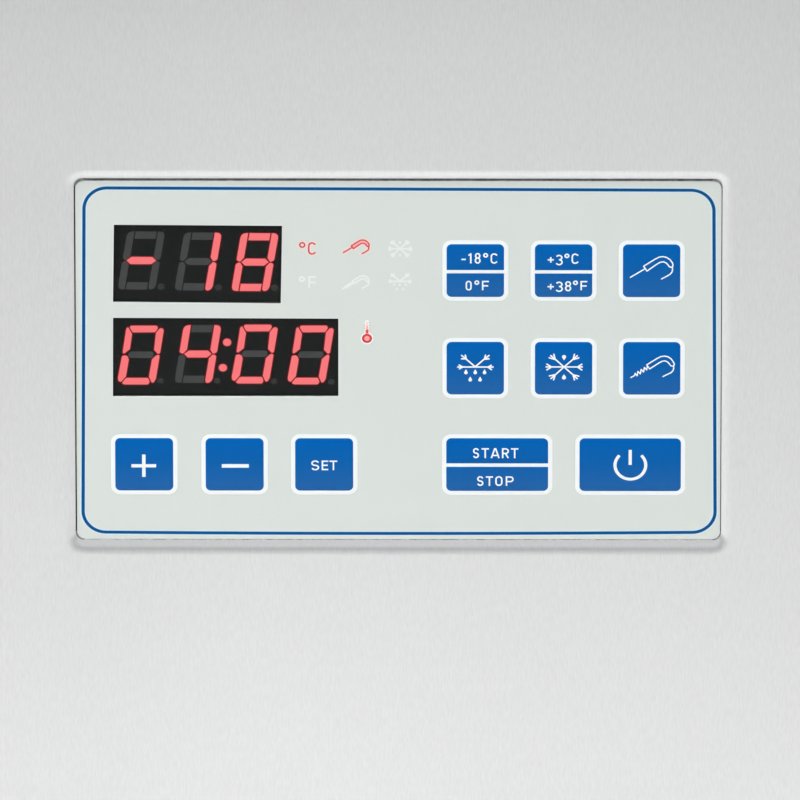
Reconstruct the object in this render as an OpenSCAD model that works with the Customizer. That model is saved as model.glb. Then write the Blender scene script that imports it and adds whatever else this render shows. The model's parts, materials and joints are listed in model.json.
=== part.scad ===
// Blast chiller, five tray levels, with a machine compartment under the chamber.
// Millimetres. +Z up, the front faces -Y, the origin is on the floor under the
// centre of the overall box.

/* [Cabinet] */
// Overall width across the top panel
cab_w = 750; // [740:1:770]
// Overall height from the floor to the top panel
cab_h = 880; // [870:1:900]
// Distance from the front face (door and fascia) to the back panel
body_d = 698; // [690:1:720]
// How far the door handle stands in front of the door, and the cable gland plus clearance behind
handle_out = 42; // [38:1:48]
// Height of the cabinet floor above the ground
foot_h = 60; // [50:1:70]
// Thickness of the stainless sheet
st = 1; // [0.8:0.1:1.2]
// Height of the top of the machine compartment
bay_top = 330; // [328:1:336]

/* [Chamber] */
// Clear width inside the chamber
cham_w = 610; // [600:1:612]
// Clear height inside the chamber
cham_h = 430; // [426:1:434]
// Corner radius inside the chamber
cham_r = 15; // [10:1:20]
// Number of tray levels
levels = 5; // [4:1:5]
// Distance between tray levels
level_pitch = 68; // [64:1:70]

/* [Door] */
// Thickness of the door
door_t = 54; // [50:1:56]
// Radius of the hinge pins
pin_r = 5; // [4:0.5:6]
// Radial clearance of a hinge pin in its bush
pin_gap = 0.05; // [0.03:0.01:0.08]

/* [Control panel] */
// Width of the printed label
label_w = 143.2; // [140:0.1:146]
// Height of the printed label
label_h = 87.4; // [86:0.1:90]
// Corner radius of the label
label_r = 1.9; // [1:0.1:4]
// Height of the label's centre above the ground
panel_z = 215; // [212:1:218]
// How far the label's surface lies below the steel
label_sink = 0.9; // [0.6:0.1:1.2]
// Thickness of the label
label_t = 0.4; // [0.3:0.05:0.5]
// Width of a square key's blue field
key_w = 12.7; // [12:0.1:13]
// Height of every key's blue field
key_h = 12.8; // [12:0.1:13]
// Width of a key's white border
key_rim = 1; // [0.8:0.1:1.2]
// Gap all round a key
key_gap = 0.1; // [0.1:0.05:0.3]

/* [Hidden] */
$fn = 48;

g = 0.2;                          // gap left between neighbouring sheets
hw = cab_w / 2;                   // half the overall width
wx = hw - st - g;                 // outer face of the side sheets
fy = -(body_d + handle_out) / 2 + handle_out - 6;  // front face of the door and fascia
ry = fy + body_d;                 // outer face of the back panel
cy = fy + door_t + 7;             // front face of the cabinet behind the door
cz = bay_top + 60 + cham_h / 2;   // centre height of the chamber
cham_y = 296;                     // outer face of the chamber's back wall
hinge_x = hw - 14;                // hinge axis
hinge_y = fy + door_t / 2;
door_z0 = bay_top + 3;            // bottom edge of the door
door_z1 = cab_h - 5;              // top edge of the door
door_hx = hw - 3;                 // half the width of the door
fan_z = cz - 5;                   // centre of the chamber fan
evap_y = [232, 266];              // the two tube columns of the evaporator
evap_z0 = bay_top + 110;          // its lowest tube row
evap_n = 8;
evap_p = 46;
cond_c = -195;                    // middle of the condenser
cond_y = [-249, -224];
cond_z0 = 92;
cond_n = 10;
cond_p = 22;
comp_x = 200; comp_y = 170;       // compressor axis
feet_x = hw - 45; feet_y = [cy + 25, ry - 50];
drain = [-230, 250];
lev0 = bay_top + 110;             // top of the lowest runner

// ---- keys: centre on the panel, and whether wide ----
K = [
  ["key_freeze_preset", 17.0, 22.0, key_w],
  ["key_chill_preset", 36.75, 22.0, key_w],
  ["key_probe", 56.3, 22.0, key_w],
  ["key_defrost", 17.0, -1.8, key_w],
  ["key_snowflake", 36.75, -1.8, key_w],
  ["key_heated_probe", 56.3, -1.8, key_w],
  ["key_plus", -56.7, -25.4, key_w],
  ["key_minus", -36.6, -25.4, key_w],
  ["key_set", -16.6, -25.4, key_w],
  ["key_start_stop", 21.9, -25.4, key_w + 9.9],
  ["key_power", 51.4, -25.4, key_w + 9.9]
];
// indicator lamps under the label
LAMPS = [[-20.6, 27.4], [-9.2, 27.4], [0.2, 27.4], [-20.6, 19.3], [-9.2, 19.3], [0.2, 19.3], [-7.1, 6.5]];

// ---- general shapes ----
module box(a, b) { translate(a) cube(b - a); }
module rrect(w, h, r) {
  square([w - 2 * r, h], center = true);
  square([w, h - 2 * r], center = true);
  for (i = [-1, 1], j = [-1, 1]) translate([i * (w / 2 - r), j * (h / 2 - r)]) circle(r);
}
// a plate in the XZ plane from y0 to y1, drawn by a 2D child
module slab_y(y0, y1) { translate([0, y1, 0]) rotate([90, 0, 0]) linear_extrude(y1 - y0) children(); }
module rod_x(x0, x1, r) { translate([x0, 0, 0]) rotate([0, 90, 0]) cylinder(r = r, h = x1 - x0); }
module rod_y(y0, y1, r) { translate([0, y0, 0]) rotate([-90, 0, 0]) cylinder(r = r, h = y1 - y0); }
function unit(v) = v / norm(v);
// a round bar along hand-chosen points, with true bends of radius R
module run(p, r, R) {
  n = len(p);
  function trim(i) = (i <= 0 || i >= n - 1) ? 0 :
    let (a = unit(p[i] - p[i - 1]), b = unit(p[i + 1] - p[i])) R * tan(acos(a * b) / 2);
  for (i = [0 : n - 2]) {
    d = unit(p[i + 1] - p[i]);
    q = p[i] + d * trim(i);
    l = norm(p[i + 1] - p[i]) - trim(i) - trim(i + 1);
    s = abs(d[2]) < 0.9 ? unit(cross([0, 0, 1], d)) : [1, 0, 0];
    t = cross(d, s);
    multmatrix([[s[0], t[0], d[0], q[0]], [s[1], t[1], d[1], q[1]], [s[2], t[2], d[2], q[2]]])
      cylinder(r = r, h = l);
  }
  for (i = [1 : 1 : n - 2]) {
    a = unit(p[i] - p[i - 1]);
    b = unit(p[i + 1] - p[i]);
    w = unit(cross(a, b));
    u = -cross(w, a);
    c = p[i] - a * trim(i) - u * R;
    multmatrix([[u[0], a[0], w[0], c[0]], [u[1], a[1], w[1], c[1]], [u[2], a[2], w[2], c[2]]])
      rotate_extrude(angle = acos(a * b)) translate([R, 0]) circle(r);
  }
}
// a screw pointing along +Y, head at y = 0
module screw() { rod_y(-2.2, 0, 4.4); rod_y(0, 2.3, 2.3); }
module screw_long() { rod_y(-2.2, 0, 4.4); rod_y(0, 6.4, 2.3); }
// positions of the back screws on each side
function rear_zs() = [90, 190, 300, 352, 480, 610, 740, 845];
module rear_screw_holes() {
  for (s = [-1, 1], z = rear_zs()) translate([s * (wx - 9), 0, z]) rod_y(ry - 6, ry + 1, 2.6);
}

// ---- outer casing ----
module base_pan() {
  color([0.72, 0.74, 0.75]) difference() {
    union() {
      difference() {
        box([-wx, cy + st + g, foot_h], [wx, ry - 2 * st - 2 * g, foot_h + 28]);
        box([-wx + 2.6, cy + st + g + 1.2, foot_h + 2], [wx - 2.6, ry - 2 * st - 2 * g - 1.2, foot_h + 40]);
        for (s = [-1, 1]) box([s < 0 ? -wx - 1 : wx - st - g, cy - 1, foot_h + 2], [s < 0 ? -wx + st + g : wx + 1, ry, foot_h + 40]);
      }
      for (i = [-1, 1], y = feet_y) translate([i * feet_x, y, foot_h]) cylinder(r = 10, h = 24);
      for (y = [-60, 30]) box([-wx + 20, y, foot_h + 1], [0, y + 12, foot_h + 10]);
    }
    for (i = [-1, 1], y = feet_y) translate([i * feet_x, y, foot_h - 1]) cylinder(r = 5.05, h = 30);
    translate([drain[0], drain[1], foot_h - 1]) cylinder(r = 9.6, h = 10);
    for (x = [40 : 30 : 340]) box([x, -230, foot_h - 1], [x + 14, -40, foot_h + 3]);
  }
}

module outer_wrap() {
  z0 = foot_h + 2.2; z1 = cab_h - st - g;
  color([0.80, 0.81, 0.82]) difference() {
    union() {
      for (s = [-1, 1]) {
        box([s < 0 ? -wx : wx - st, cy, z0], [s < 0 ? -wx + st : wx, ry - st - g, z1]);
        box([s < 0 ? -wx : wx - 20, cy, z0], [s < 0 ? -wx + 20 : wx, cy + st, z1]);
        box([s < 0 ? -wx : wx - 20, ry - 2 * st - g, z0], [s < 0 ? -wx + 20 : wx, ry - st - g, z1]);
      }
      box([-wx + st / 2, cy, bay_top - st], [wx - st / 2, ry - st - g, bay_top]);
      box([-wx + st / 2, cy, bay_top - 30], [wx - st / 2, cy + st, bay_top]);
    }
    translate([drain[0], drain[1], bay_top - 5]) cylinder(r = 10, h = 10);
    box([266, 326, bay_top - 5], [302, 344, bay_top + 5]);
    rear_screw_holes();
  }
}

module top_panel() {
  color([0.82, 0.83, 0.84]) difference() {
    box([-hw, cy - 1.2, cab_h - 21], [hw, ry + 1.2, cab_h]);
    box([-hw + st, cy - 0.2, cab_h - 22], [hw - st, ry + 0.2, cab_h - st]);
  }
}

module rear_panel() {
  color([0.74, 0.76, 0.77]) difference() {
    box([-wx, ry - st, bay_top - 1], [wx, ry, cab_h - st - g]);
    rear_screw_holes();
  }
}

module rear_grille() {
  color([0.74, 0.76, 0.77]) difference() {
    box([-wx, ry - st, foot_h + 2.2], [wx, ry, bay_top - 3]);
    rear_screw_holes();
    for (x = [-300, 60], z = [100 : 14 : 300]) if (x > 0 || z > 130) box([x, ry - 5, z], [x + 240, ry + 5, z + 6]);
    translate([-300, 0, 102]) rod_y(ry - 5, ry + 5, 8.3);
  }
}

// ---- insulated chamber ----
// five rigid boards round the chamber
module cabinet_foam() {
  x1 = wx - st - g; y0 = cy + 4.2; y1 = ry - 2 * st - 2 * g; z0 = bay_top + g; z1 = cab_h - 2 * st - g;
  cx = cham_w / 2 + st + g; c0 = cz - cham_h / 2 - st - g; c1 = cz + cham_h / 2 + st + g;
  color([0.93, 0.86, 0.62]) difference() {
    union() {
      box([-x1, y0, z0], [x1, y1, c0]);
      box([-x1, y0, c1], [x1, y1, z1]);
      for (s = [-1, 1]) box([s < 0 ? -x1 : cx, y0, c0 + 0.1], [s < 0 ? -cx : x1, y1, c1 - 0.1]);
      box([-cx + 0.1, cham_y + g, c0 + 0.1], [cx - 0.1, y1, c1 - 0.1]);
    }
    translate([drain[0], drain[1], bay_top - 5]) cylinder(r = 10, h = 100);
    box([266, 326, bay_top - 5], [302, 344, 480]);
    box([266, 290, 430], [302, 344, 480]);
    translate([0, 40, cz + 170]) rod_x(cham_w / 2 - 5, cham_w / 2 + 22, 12);
  }
}

module chamber_liner() {
  color([0.83, 0.84, 0.85]) difference() {
    union() {
      translate([0, 0, cz]) slab_y(cy + 3, cham_y) rrect(cham_w + 2 * st, cham_h + 2 * st, cham_r + st);
      translate([0, 0, cz]) slab_y(cy + 3, cy + 4) rrect(cham_w + 24, cham_h + 24, cham_r + 8);
    }
    translate([0, 0, cz]) slab_y(cy - 1, cham_y - st) rrect(cham_w, cham_h, cham_r);
    translate([drain[0], drain[1], bay_top + 50]) cylinder(r = 9.6, h = 20);
    for (p = [[292, 440], [276, 466]]) translate([p[0], 0, p[1]]) rod_y(cham_y - 5, cham_y + 5, 6.5);
    translate([0, 40, cz + 170]) rod_x(cham_w / 2 - 3, cham_w / 2 + 5, 11);
  }
}

module door_frame_trim() {
  color([0.16, 0.17, 0.18]) difference() {
    box([-wx + 20.4, cy, bay_top + 1], [wx - 20.4, cy + 2.8, cab_h - 22]);
    translate([0, 0, cz]) slab_y(cy - 1, cy + 5) rrect(cham_w - 4, cham_h - 4, cham_r);
  }
}

// ---- front fascia with the pressed pocket for the label ----
module front_fascia() {
  z0 = foot_h + 2; z1 = bay_top - 4;
  pw = label_w + 1.6; ph = label_h + 1.6; pr = label_r + 0.8;
  color([0.82, 0.83, 0.84]) difference() {
    union() {
      difference() {
        box([-wx, fy, z0], [wx, cy - g, z1]);
        box([-wx + 1.2, fy + 1.2, z0 + 1.2], [wx - 1.2, cy + 1, z1 - 1.2]);
      }
      translate([0, 0, panel_z]) slab_y(fy + 0.6, fy + label_sink + label_t + 1.2) rrect(pw + 2.4, ph + 2.4, pr + 1.2);
    }
    translate([0, 0, panel_z]) slab_y(fy - 1, fy + label_sink + label_t) rrect(pw, ph, pr);
    translate([0, 0, panel_z]) slab_y(fy, fy + 10) square([132, 77], center = true);
    for (s = [-1, 1], z = [z0 + 30 : 14 : z1 - 30]) translate([s * 235, 0, z]) slab_y(fy - 1, fy + 5) rrect(220, 5, 2.4);
  }
}

module hinge_brackets() {
  color([0.62, 0.63, 0.65]) {
    // lower bracket, with the pin pointing up
    union() {
      box([hinge_x - 14, fy + 8, bay_top - 2.6], [wx - 0.6, cy - g, bay_top + 1]);
      box([hinge_x - 12, cy - 3.9, bay_top - 2.6], [wx - 0.6, cy - g, bay_top + 40]);
      translate([hinge_x, hinge_y, bay_top - 2.6]) cylinder(r = pin_r, h = 21);
    }
    // upper bracket, with the pin pointing down
    union() {
      box([hinge_x - 14, fy + 8, cab_h - 4.6], [wx - 0.6, cy - 1.4, cab_h - 1.4]);
      box([hinge_x - 12, cy - 3.9, cab_h - 42], [wx - 0.6, cy - 1.4, cab_h - 1.4]);
      translate([hinge_x, hinge_y, cab_h - 22]) cylinder(r = pin_r, h = 19);
    }
  }
}

module fasteners() {
  color([0.75, 0.76, 0.78]) {
    for (s = [-1, 1], z = rear_zs()) translate([s * (wx - 9), ry + 2.2 + 0.1, z]) mirror([0, 1, 0]) translate([0, 2.2, 0]) screw();
    for (s = [-1, 1], z = [cz - 190, cz + 190]) translate([s * 288, 129.9, z]) screw();
    for (a = [45 : 90 : 315]) translate([134 * cos(a), 126.8, fan_z + 134 * sin(a)]) screw_long();
  }
}

// ---- door ----
module door_outer_skin() {
  color([0.82, 0.83, 0.84]) difference() {
    box([-door_hx, fy, door_z0], [door_hx, fy + door_t - 2, door_z1]);
    box([-door_hx + st, fy + st, door_z0 + st], [door_hx - st, fy + door_t, door_z1 - st]);
    translate([hinge_x, hinge_y, door_z0 - 5]) cylinder(r = 8.2, h = door_z1 - door_z0 + 10);
  }
}

module door_inner_liner() {
  color([0.80, 0.81, 0.82]) difference() {
    union() {
      box([-door_hx + 0.2, fy + door_t - 1.8, door_z0 + 0.2], [door_hx - 0.2, fy + door_t, door_z1 - 0.2]);
      translate([0, 0, cz]) slab_y(fy + door_t - 1.8, fy + door_t + 14) rrect(cham_w - 44, cham_h - 40, 14);
    }
    translate([0, 0, cz]) slab_y(fy + door_t - 5, fy + door_t + 12.8) rrect(cham_w - 46.4, cham_h - 42.4, 12.8);
  }
}

module door_foam() {
  color([0.93, 0.86, 0.62]) difference() {
    union() {
      box([-door_hx + st + g, fy + st + g, door_z0 + st + g], [door_hx - st - g, fy + door_t - 2, door_z1 - st - g]);
      translate([0, 0, cz]) slab_y(fy + door_t - 3, fy + door_t + 12.6) rrect(cham_w - 47, cham_h - 43, 12.5);
    }
    for (z = [door_z0 - 1, door_z1 - 19.2]) translate([hinge_x, hinge_y, z]) cylinder(r = 8.2, h = 20.2);
  }
}

module door_gasket() {
  gz = (door_z0 + door_z1) / 2;
  color([0.20, 0.21, 0.22]) difference() {
    translate([0, 0, gz]) slab_y(fy + door_t + g, cy - g) rrect(2 * hw - 60, door_z1 - door_z0 - 42, 10);
    translate([0, 0, gz]) slab_y(fy + door_t - 1, cy + 1) rrect(2 * hw - 88, door_z1 - door_z0 - 70, 6);
  }
}

module door_handle() {
  hx = -door_hx + 22; hz = (door_z0 + door_z1) / 2;
  color([0.25, 0.26, 0.28]) difference() {
    union() {
      translate([hx + 12, 0, hz]) slab_y(fy - handle_out, fy - handle_out + 12) rrect(24, 250, 8);
      for (s = [-1, 1]) translate([hx + 12, 0, hz + s * 112]) slab_y(fy - handle_out + 6, fy - 0.1) rrect(22, 22, 6);
    }
  }
}

module door_hinge_bushes() {
  color([0.88, 0.88, 0.86]) {
    difference() {
      union() {
        translate([hinge_x, hinge_y, door_z0 - 0.3]) cylinder(r = 8, h = 18.3);
        translate([hinge_x, hinge_y, door_z0 - 1.7]) cylinder(r = 10, h = 1.4);
      }
      translate([hinge_x, hinge_y, door_z0 - 3]) cylinder(r = pin_r + pin_gap, h = 30);
    }
    difference() {
      translate([hinge_x, hinge_y, door_z1 - 18]) cylinder(r = 8, h = 18);
      translate([hinge_x, hinge_y, door_z1 - 20]) cylinder(r = pin_r + pin_gap, h = 30);
    }
  }
}

// ---- tray runners and shelves ----
// three posts and one runner a level on each side; a 530 mm tray slides between the posts
module tray_racks() {
  color([0.78, 0.79, 0.80]) for (s = [-1, 1]) mirror([s < 0 ? 1 : 0, 0, 0]) {
    for (y = [cy + 20, -70, 100]) box([268.6, y, bay_top + 76], [cham_w / 2 - 1, y + 12, bay_top + 70 + level_pitch * levels]);
    for (i = [0 : levels - 1]) difference() {
      box([254, cy + 16, lev0 + i * level_pitch - 7], [268.5, 116, lev0 + i * level_pitch]);
      box([255.2, cy + 15, lev0 + i * level_pitch - 8], [267.3, 117, lev0 + i * level_pitch - 1.2]);
    }
  }
}

// a wire shelf, 530 x 325, its frame centred on z
module wire_shelf(z) {
  r = 3; R = 14; hx = 265 - r; y0 = cy + 58 + r; y1 = y0 + 325 - 2 * r;
  translate([0, 0, z]) {
    for (y = [y0, y1]) translate([0, y, 0]) rod_x(-hx + R, hx - R, r);
    for (s = [-1, 1]) translate([s * hx, 0, 0]) rod_y(y0 + R, y1 - R, r);
    for (s = [0 : 3]) {
      c = [[hx - R, y1 - R], [-hx + R, y1 - R], [-hx + R, y0 + R], [hx - R, y0 + R]][s];
      translate([c[0], c[1], 0]) rotate([0, 0, 90 * s]) rotate_extrude(angle = 90) translate([R, 0]) circle(r);
    }
    translate([0, (y0 + y1) / 2, 0]) rod_x(-hx, hx, 2.4);
    for (i = [-7 : 7]) translate([i * 33, 0, 3.2]) rod_y(y0 - 1, y1 + 1, 1.3);
  }
}
module shelf_lower() { color([0.80, 0.81, 0.82]) wire_shelf(lev0 + level_pitch + 3.1); }
module shelf_upper() { color([0.80, 0.81, 0.82]) wire_shelf(lev0 + 3 * level_pitch + 3.1); }

// ---- cold side ----
module fan_panel() {
  color([0.80, 0.81, 0.82]) difference() {
    union() {
      translate([0, 0, cz]) slab_y(130, 130 + st) rrect(cham_w - 4, cham_h - 8, cham_r);
      for (s = [-1, 1]) box([s < 0 ? -cham_w / 2 + 2 : cham_w / 2 - 2 - st, 130, cz - 180], [s < 0 ? -cham_w / 2 + 2 + st : cham_w / 2 - 2, 152, cz + 180]);
    }
    translate([0, 0, fan_z]) rod_y(125, 140, 124);
    for (s = [-1, 1], z = [cz - 160 : 26 : cz + 160]) translate([s * 225, 0, z]) slab_y(125, 140) rrect(90, 12, 5.5);
    for (s = [-1, 1], z = [cz - 190, cz + 190]) translate([s * 288, 0, z]) rod_y(125, 140, 2.6);
    for (a = [0 : 90 : 270]) translate([134 * cos(a + 45), 0, fan_z + 134 * sin(a + 45)]) rod_y(125, 140, 2.6);
  }
}

module evap_fan_guard() {
  color([0.70, 0.71, 0.73]) translate([0, 0, fan_z]) {
    for (q = [30 : 24 : 126])
      translate([0, 124.4, 0]) rotate([90, 0, 0]) rotate_extrude() translate([q, 0]) circle(1.4);
    for (a = [0 : 3]) rotate([0, 45 + 90 * a, 0]) {
      translate([0, 126.3, 0]) rod_x(25, 129.2, 1.4);
      translate([134, 0, 0]) difference() { rod_y(126.9, 129.8, 7); rod_y(120, 132, 2.6); }
    }
  }
}

module fan_blades(r0, r1, chord, n, pitch) {
  for (a = [0 : n - 1]) rotate([0, 0, 360 / n * a]) translate([r0, 0, 0]) rotate([pitch, 0, 0])
    rotate([90, 0, 90]) linear_extrude(r1 - r0) intersection() {
      translate([0, chord]) difference() { circle(chord + 0.9); circle(chord - 0.9); }
      translate([-chord / 2, -chord / 2]) square([chord, chord]);
    }
}

module evap_fan_motor() {
  color([0.22, 0.23, 0.24]) translate([0, 0, fan_z]) difference() {
    union() {
      rod_y(174, 208, 40);
      rod_y(170, 175, 16);
      for (a = [0 : 90 : 270]) rotate([0, 45 + a, 0]) {
        box([36, 190, -6], [142.5, 193, 6]);
        box([139.5, 131.2, -6], [142.5, 193, 6]);
        box([127.5, 131.2, -6], [142.5, 133.2, 6]);
      }
    }
    rod_y(165, 188, 4.05);
    for (a = [0 : 90 : 270]) rotate([0, 45 + a, 0]) translate([134, 0, 0]) rod_y(128, 138, 2.6);
  }
}

module evap_fan_rotor() {
  color([0.12, 0.12, 0.13]) translate([0, 154, fan_z]) rotate([90, 0, 0]) union() {
    cylinder(r = 34, h = 26, center = true);
    fan_blades(30, 108, 62, 5, 24);
    translate([0, 0, -31]) cylinder(r = 4, h = 32);
  }
}

module evaporator_fins() {
  color([0.86, 0.87, 0.88]) for (i = [0 : 31]) translate([-248 + i * 16, 0, 0]) difference() {
    box([-0.3, 214, evap_z0 - 20], [0.3, 284, evap_z0 + (evap_n - 1) * evap_p + 20]);
    for (y = evap_y, k = [0 : evap_n - 1]) translate([0, y, evap_z0 + k * evap_p]) rod_x(-2, 2, 5.15);
  }
}

// a serpentine in one column: rows joined by half rings, the free end at +X on the bottom row
module serpentine(y, z0, n, p, x0, x1, r) {
  for (k = [0 : n - 1]) translate([0, y, z0 + k * p]) rod_x(x0, x1, r);
  for (k = [0 : n - 2]) translate([k % 2 == 0 ? x0 : x1, y, z0 + (k + 0.5) * p])
    rotate([90, 0, 0]) rotate([0, 0, k % 2 == 0 ? 90 : -90]) rotate_extrude(angle = 180) translate([p / 2, 0]) circle(r);
}

module evaporator_tubes() {
  color([0.75, 0.47, 0.30]) union() {
    for (y = evap_y) serpentine(y, evap_z0, evap_n, evap_p, -262, 262, 5);
    translate([262, (evap_y[0] + evap_y[1]) / 2, evap_z0 + (evap_n - 1) * evap_p])
      rotate([0, 0, -90]) rotate_extrude(angle = 180) translate([(evap_y[1] - evap_y[0]) / 2, 0]) circle(5);
  }
}

module evap_drip_pan() {
  color([0.84, 0.85, 0.86]) difference() {
    box([-272, 206, bay_top + 67], [272, 291, bay_top + 82]);
    box([-271, 207, bay_top + 68], [271, 290, bay_top + 90]);
    translate([drain[0], drain[1], bay_top + 60]) cylinder(r = 9.5, h = 20);
  }
}

module drain_pipe() {
  color([0.85, 0.85, 0.83]) translate([drain[0], drain[1], 0]) difference() {
    union() {
      translate([0, 0, foot_h - 24]) cylinder(r = 8, h = 24);
      translate([0, 0, foot_h - 2]) cylinder(r = 9, h = bay_top + 72 - foot_h);
      translate([0, 0, bay_top + 68.2]) cylinder(r = 14, h = 1.8);
    }
    translate([0, 0, 10]) cylinder(r = 6.5, h = bay_top + 100);
  }
}

module probe_socket() {
  color([0.3, 0.31, 0.33]) translate([cham_w / 2, 40, cz + 170]) rotate([0, -90, 0]) difference() {
    union() {
      translate([0, 0, 0.2]) cylinder(r = 15, h = 5);
      translate([0, 0, -20]) cylinder(r = 10.5, h = 22);
    }
    translate([0, 0, -12]) cylinder(r = 6, h = 30);
  }
}

module probe_holder() {
  color([0.80, 0.81, 0.82]) translate([cham_w / 2 - 0.2, -170, cz + 165]) {
    box([-1.5, -30, -14], [0, 30, 14]);
    for (y = [-22, 22]) difference() {
      translate([-9, y, 0]) rod_y(-4, 4, 8.5);
      translate([-9, y, 0]) rod_y(-6, 6, 7);
      box([-20, y - 6, -4], [-12, y + 6, 12]);
    }
  }
}

// ---- warm side ----
function dome(r, h, n) = [for (i = [0 : n]) [r * cos(90 * i / n), h * sin(90 * i / n)]];
module compressor() {
  zb = foot_h + 22;
  color([0.08, 0.08, 0.09]) union() {
    translate([comp_x, comp_y, zb]) rotate_extrude() union() {
      translate([0, 20]) square([80, 135]);
      translate([0, 155]) polygon(concat([[0, 0]], dome(80, 44, 10)));
      translate([0, 20]) mirror([0, 1]) polygon(concat([[0, 0]], dome(80, 18, 6)));
      translate([0, 86]) square([84, 5]);
    }
    box([comp_x - 95, comp_y - 62, zb], [comp_x + 95, comp_y + 62, zb + 4]);
    box([comp_x - 30, comp_y - 108, zb + 50], [comp_x + 30, comp_y - 60, zb + 120]);
  }
}

module compressor_mounts() {
  color([0.1, 0.1, 0.1]) for (i = [-1, 1], j = [-1, 1])
    translate([comp_x + i * 84, comp_y + j * 52, foot_h + 2.1]) cylinder(r = 12, h = 19.8);
}

module condenser_fins() {
  color([0.80, 0.81, 0.82]) for (i = [0 : 20]) translate([cond_c - 120 + i * 12, 0, 0]) difference() {
    box([-0.3, cond_y[0] - 12, cond_z0 - 14], [0.3, cond_y[1] + 12, cond_z0 + (cond_n - 1) * cond_p + 14]);
    for (y = cond_y, k = [0 : cond_n - 1]) translate([0, y, cond_z0 + k * cond_p]) rod_x(-2, 2, 4.95);
  }
}

module condenser_tubes() {
  color([0.75, 0.47, 0.30]) union() {
    for (y = cond_y) serpentine(y, cond_z0, cond_n, cond_p, cond_c - 128, cond_c + 128, 4.8);
    translate([cond_c + 128, (cond_y[0] + cond_y[1]) / 2, cond_z0])
      rotate([0, 0, -90]) rotate_extrude(angle = 180) translate([(cond_y[1] - cond_y[0]) / 2, 0]) circle(4.8);
  }
}

module condenser_shroud() {
  color([0.60, 0.62, 0.64]) translate([cond_c, 0, 192]) difference() {
    union() {
      difference() {
        box([-134, -211, -126], [134, -203, 126]);
        box([-132.8, -213, -124.8], [132.8, -204.2, 124.8]);
      }
      rod_y(-204.2, -186, 101);
    }
    rod_y(-220, -180, 99.8);
  }
}

module condenser_fan_motor() {
  color([0.22, 0.23, 0.24]) translate([cond_c, 0, 192]) difference() {
    union() {
      rod_y(-158, -118, 38);
      rod_y(-162, -156, 14);
      for (a = [0 : 120 : 240]) rotate([0, 30 + a, 0]) {
        box([34, -140, -7], [118, -137, 7]);
        box([115, -202.8, -7], [118, -137, 7]);
      }
    }
    rod_y(-164, -146, 4.05);
  }
}

module condenser_fan_rotor() {
  color([0.70, 0.72, 0.74]) translate([cond_c, -180, 192]) rotate([90, 0, 0]) union() {
    cylinder(r = 30, h = 26, center = true);
    fan_blades(26, 90, 54, 5, 26);
    translate([0, 0, -32]) cylinder(r = 4, h = 32);
  }
}

module refrigerant_lines() {
  zt = cond_z0 + (cond_n - 1) * cond_p;
  color([0.75, 0.47, 0.30]) {
    // hot gas, from the compressor to the condenser
    run([[comp_x - 80.2, comp_y, 200], [40, comp_y, 200], [40, comp_y, zt], [40, cond_y[1], zt], [cond_c + 128.2, cond_y[1], zt]], 4, 12);
    // liquid, through the filter drier to the evaporator
    union() {
      run([[cond_c + 128.2, cond_y[0], zt], [0, cond_y[0], zt], [0, cond_y[0], 90], [0, 335, 90], [292, 335, 90],
           [292, 335, evap_z0], [292, evap_y[1], evap_z0], [262.2, evap_y[1], evap_z0]], 3.5, 12);
      translate([0, -60, 90]) rod_y(-50, 50, 14);
    }
    // suction, from the evaporator back to the compressor
    run([[262.2, evap_y[0], evap_z0], [276, evap_y[0], evap_z0], [276, evap_y[0], evap_z0 + 26], [276, 335, evap_z0 + 26],
         [276, 335, 160], [200, 335, 160], [200, comp_y + 80.2, 160]], 5, 10);
  }
}

module electrical_box() {
  color([0.55, 0.57, 0.60]) difference() {
    box([110, -258, 90], [335, -150, 290]);
    box([112.5, -255.5, 92.5], [332.5, -152.5, 287.5]);
    for (y = [-230, -205, -180]) translate([0, y, 110]) rod_x(100, 120, 7);
  }
}

module mains_gland() {
  color([0.12, 0.12, 0.13]) translate([-300, 0, 102]) difference() {
    union() {
      translate([0, ry + 0.1, 0]) rotate([-90, 0, 0]) cylinder(r = 12.5, h = 6, $fn = 6);
      rod_y(ry + 5, ry + 12, 9.5);
      rod_y(ry - 14, ry + 6, 8);
      translate([0, ry - 7.2, 0]) rotate([-90, 0, 0]) cylinder(r = 12.5, h = 5.8, $fn = 6);
    }
    rod_y(ry - 20, ry + 20, 5);
  }
}

// ---- control panel ----
module key_hole(w, grow) { rrect(w + 2 * key_rim + 2 * grow, key_h + 2 * key_rim + 2 * grow, 1.8 + grow); }

module control_overlay() {
  color([0.86, 0.88, 0.86]) translate([0, 0, panel_z]) difference() {
    slab_y(fy + label_sink, fy + label_sink + label_t) rrect(label_w, label_h, label_r);
    for (k = K) translate([k[1], 0, k[2]]) slab_y(fy - 1, fy + 5) key_hole(k[3], key_gap);
  }
}

module key(i) {
  k = K[i];
  color([0.05, 0.36, 0.66]) translate([k[1], 0, panel_z + k[2]]) union() {
    slab_y(fy + label_sink, fy + label_sink + label_t) key_hole(k[3], 0);
    rod_y(fy + label_sink + label_t - 0.1, fy + 6.5, 1.75);
  }
}

module led_module(w, h, n) {
  difference() {
    slab_y(fy + label_sink + label_t + g, fy + 9.6) square([w, h], center = true);
    slab_y(fy + 8.8, fy + 12) square([w - 2, h - 2], center = true);
  }
  for (i = [0 : n - 1], s = [-1, 1]) translate([(i - (n - 1) / 2) * 12.7, 0, s * (h / 2 - 2)]) rod_y(fy + 8, fy + 12.8, 0.4);
}
module display_temp() { color([0.10, 0.10, 0.11]) translate([-44.8, 0, panel_z + 23.6]) led_module(37.3, 18.7, 3); }
module display_time() { color([0.10, 0.10, 0.11]) translate([-38.5, 0, panel_z + 0.9]) led_module(50.1, 18.7, 4); }

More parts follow.
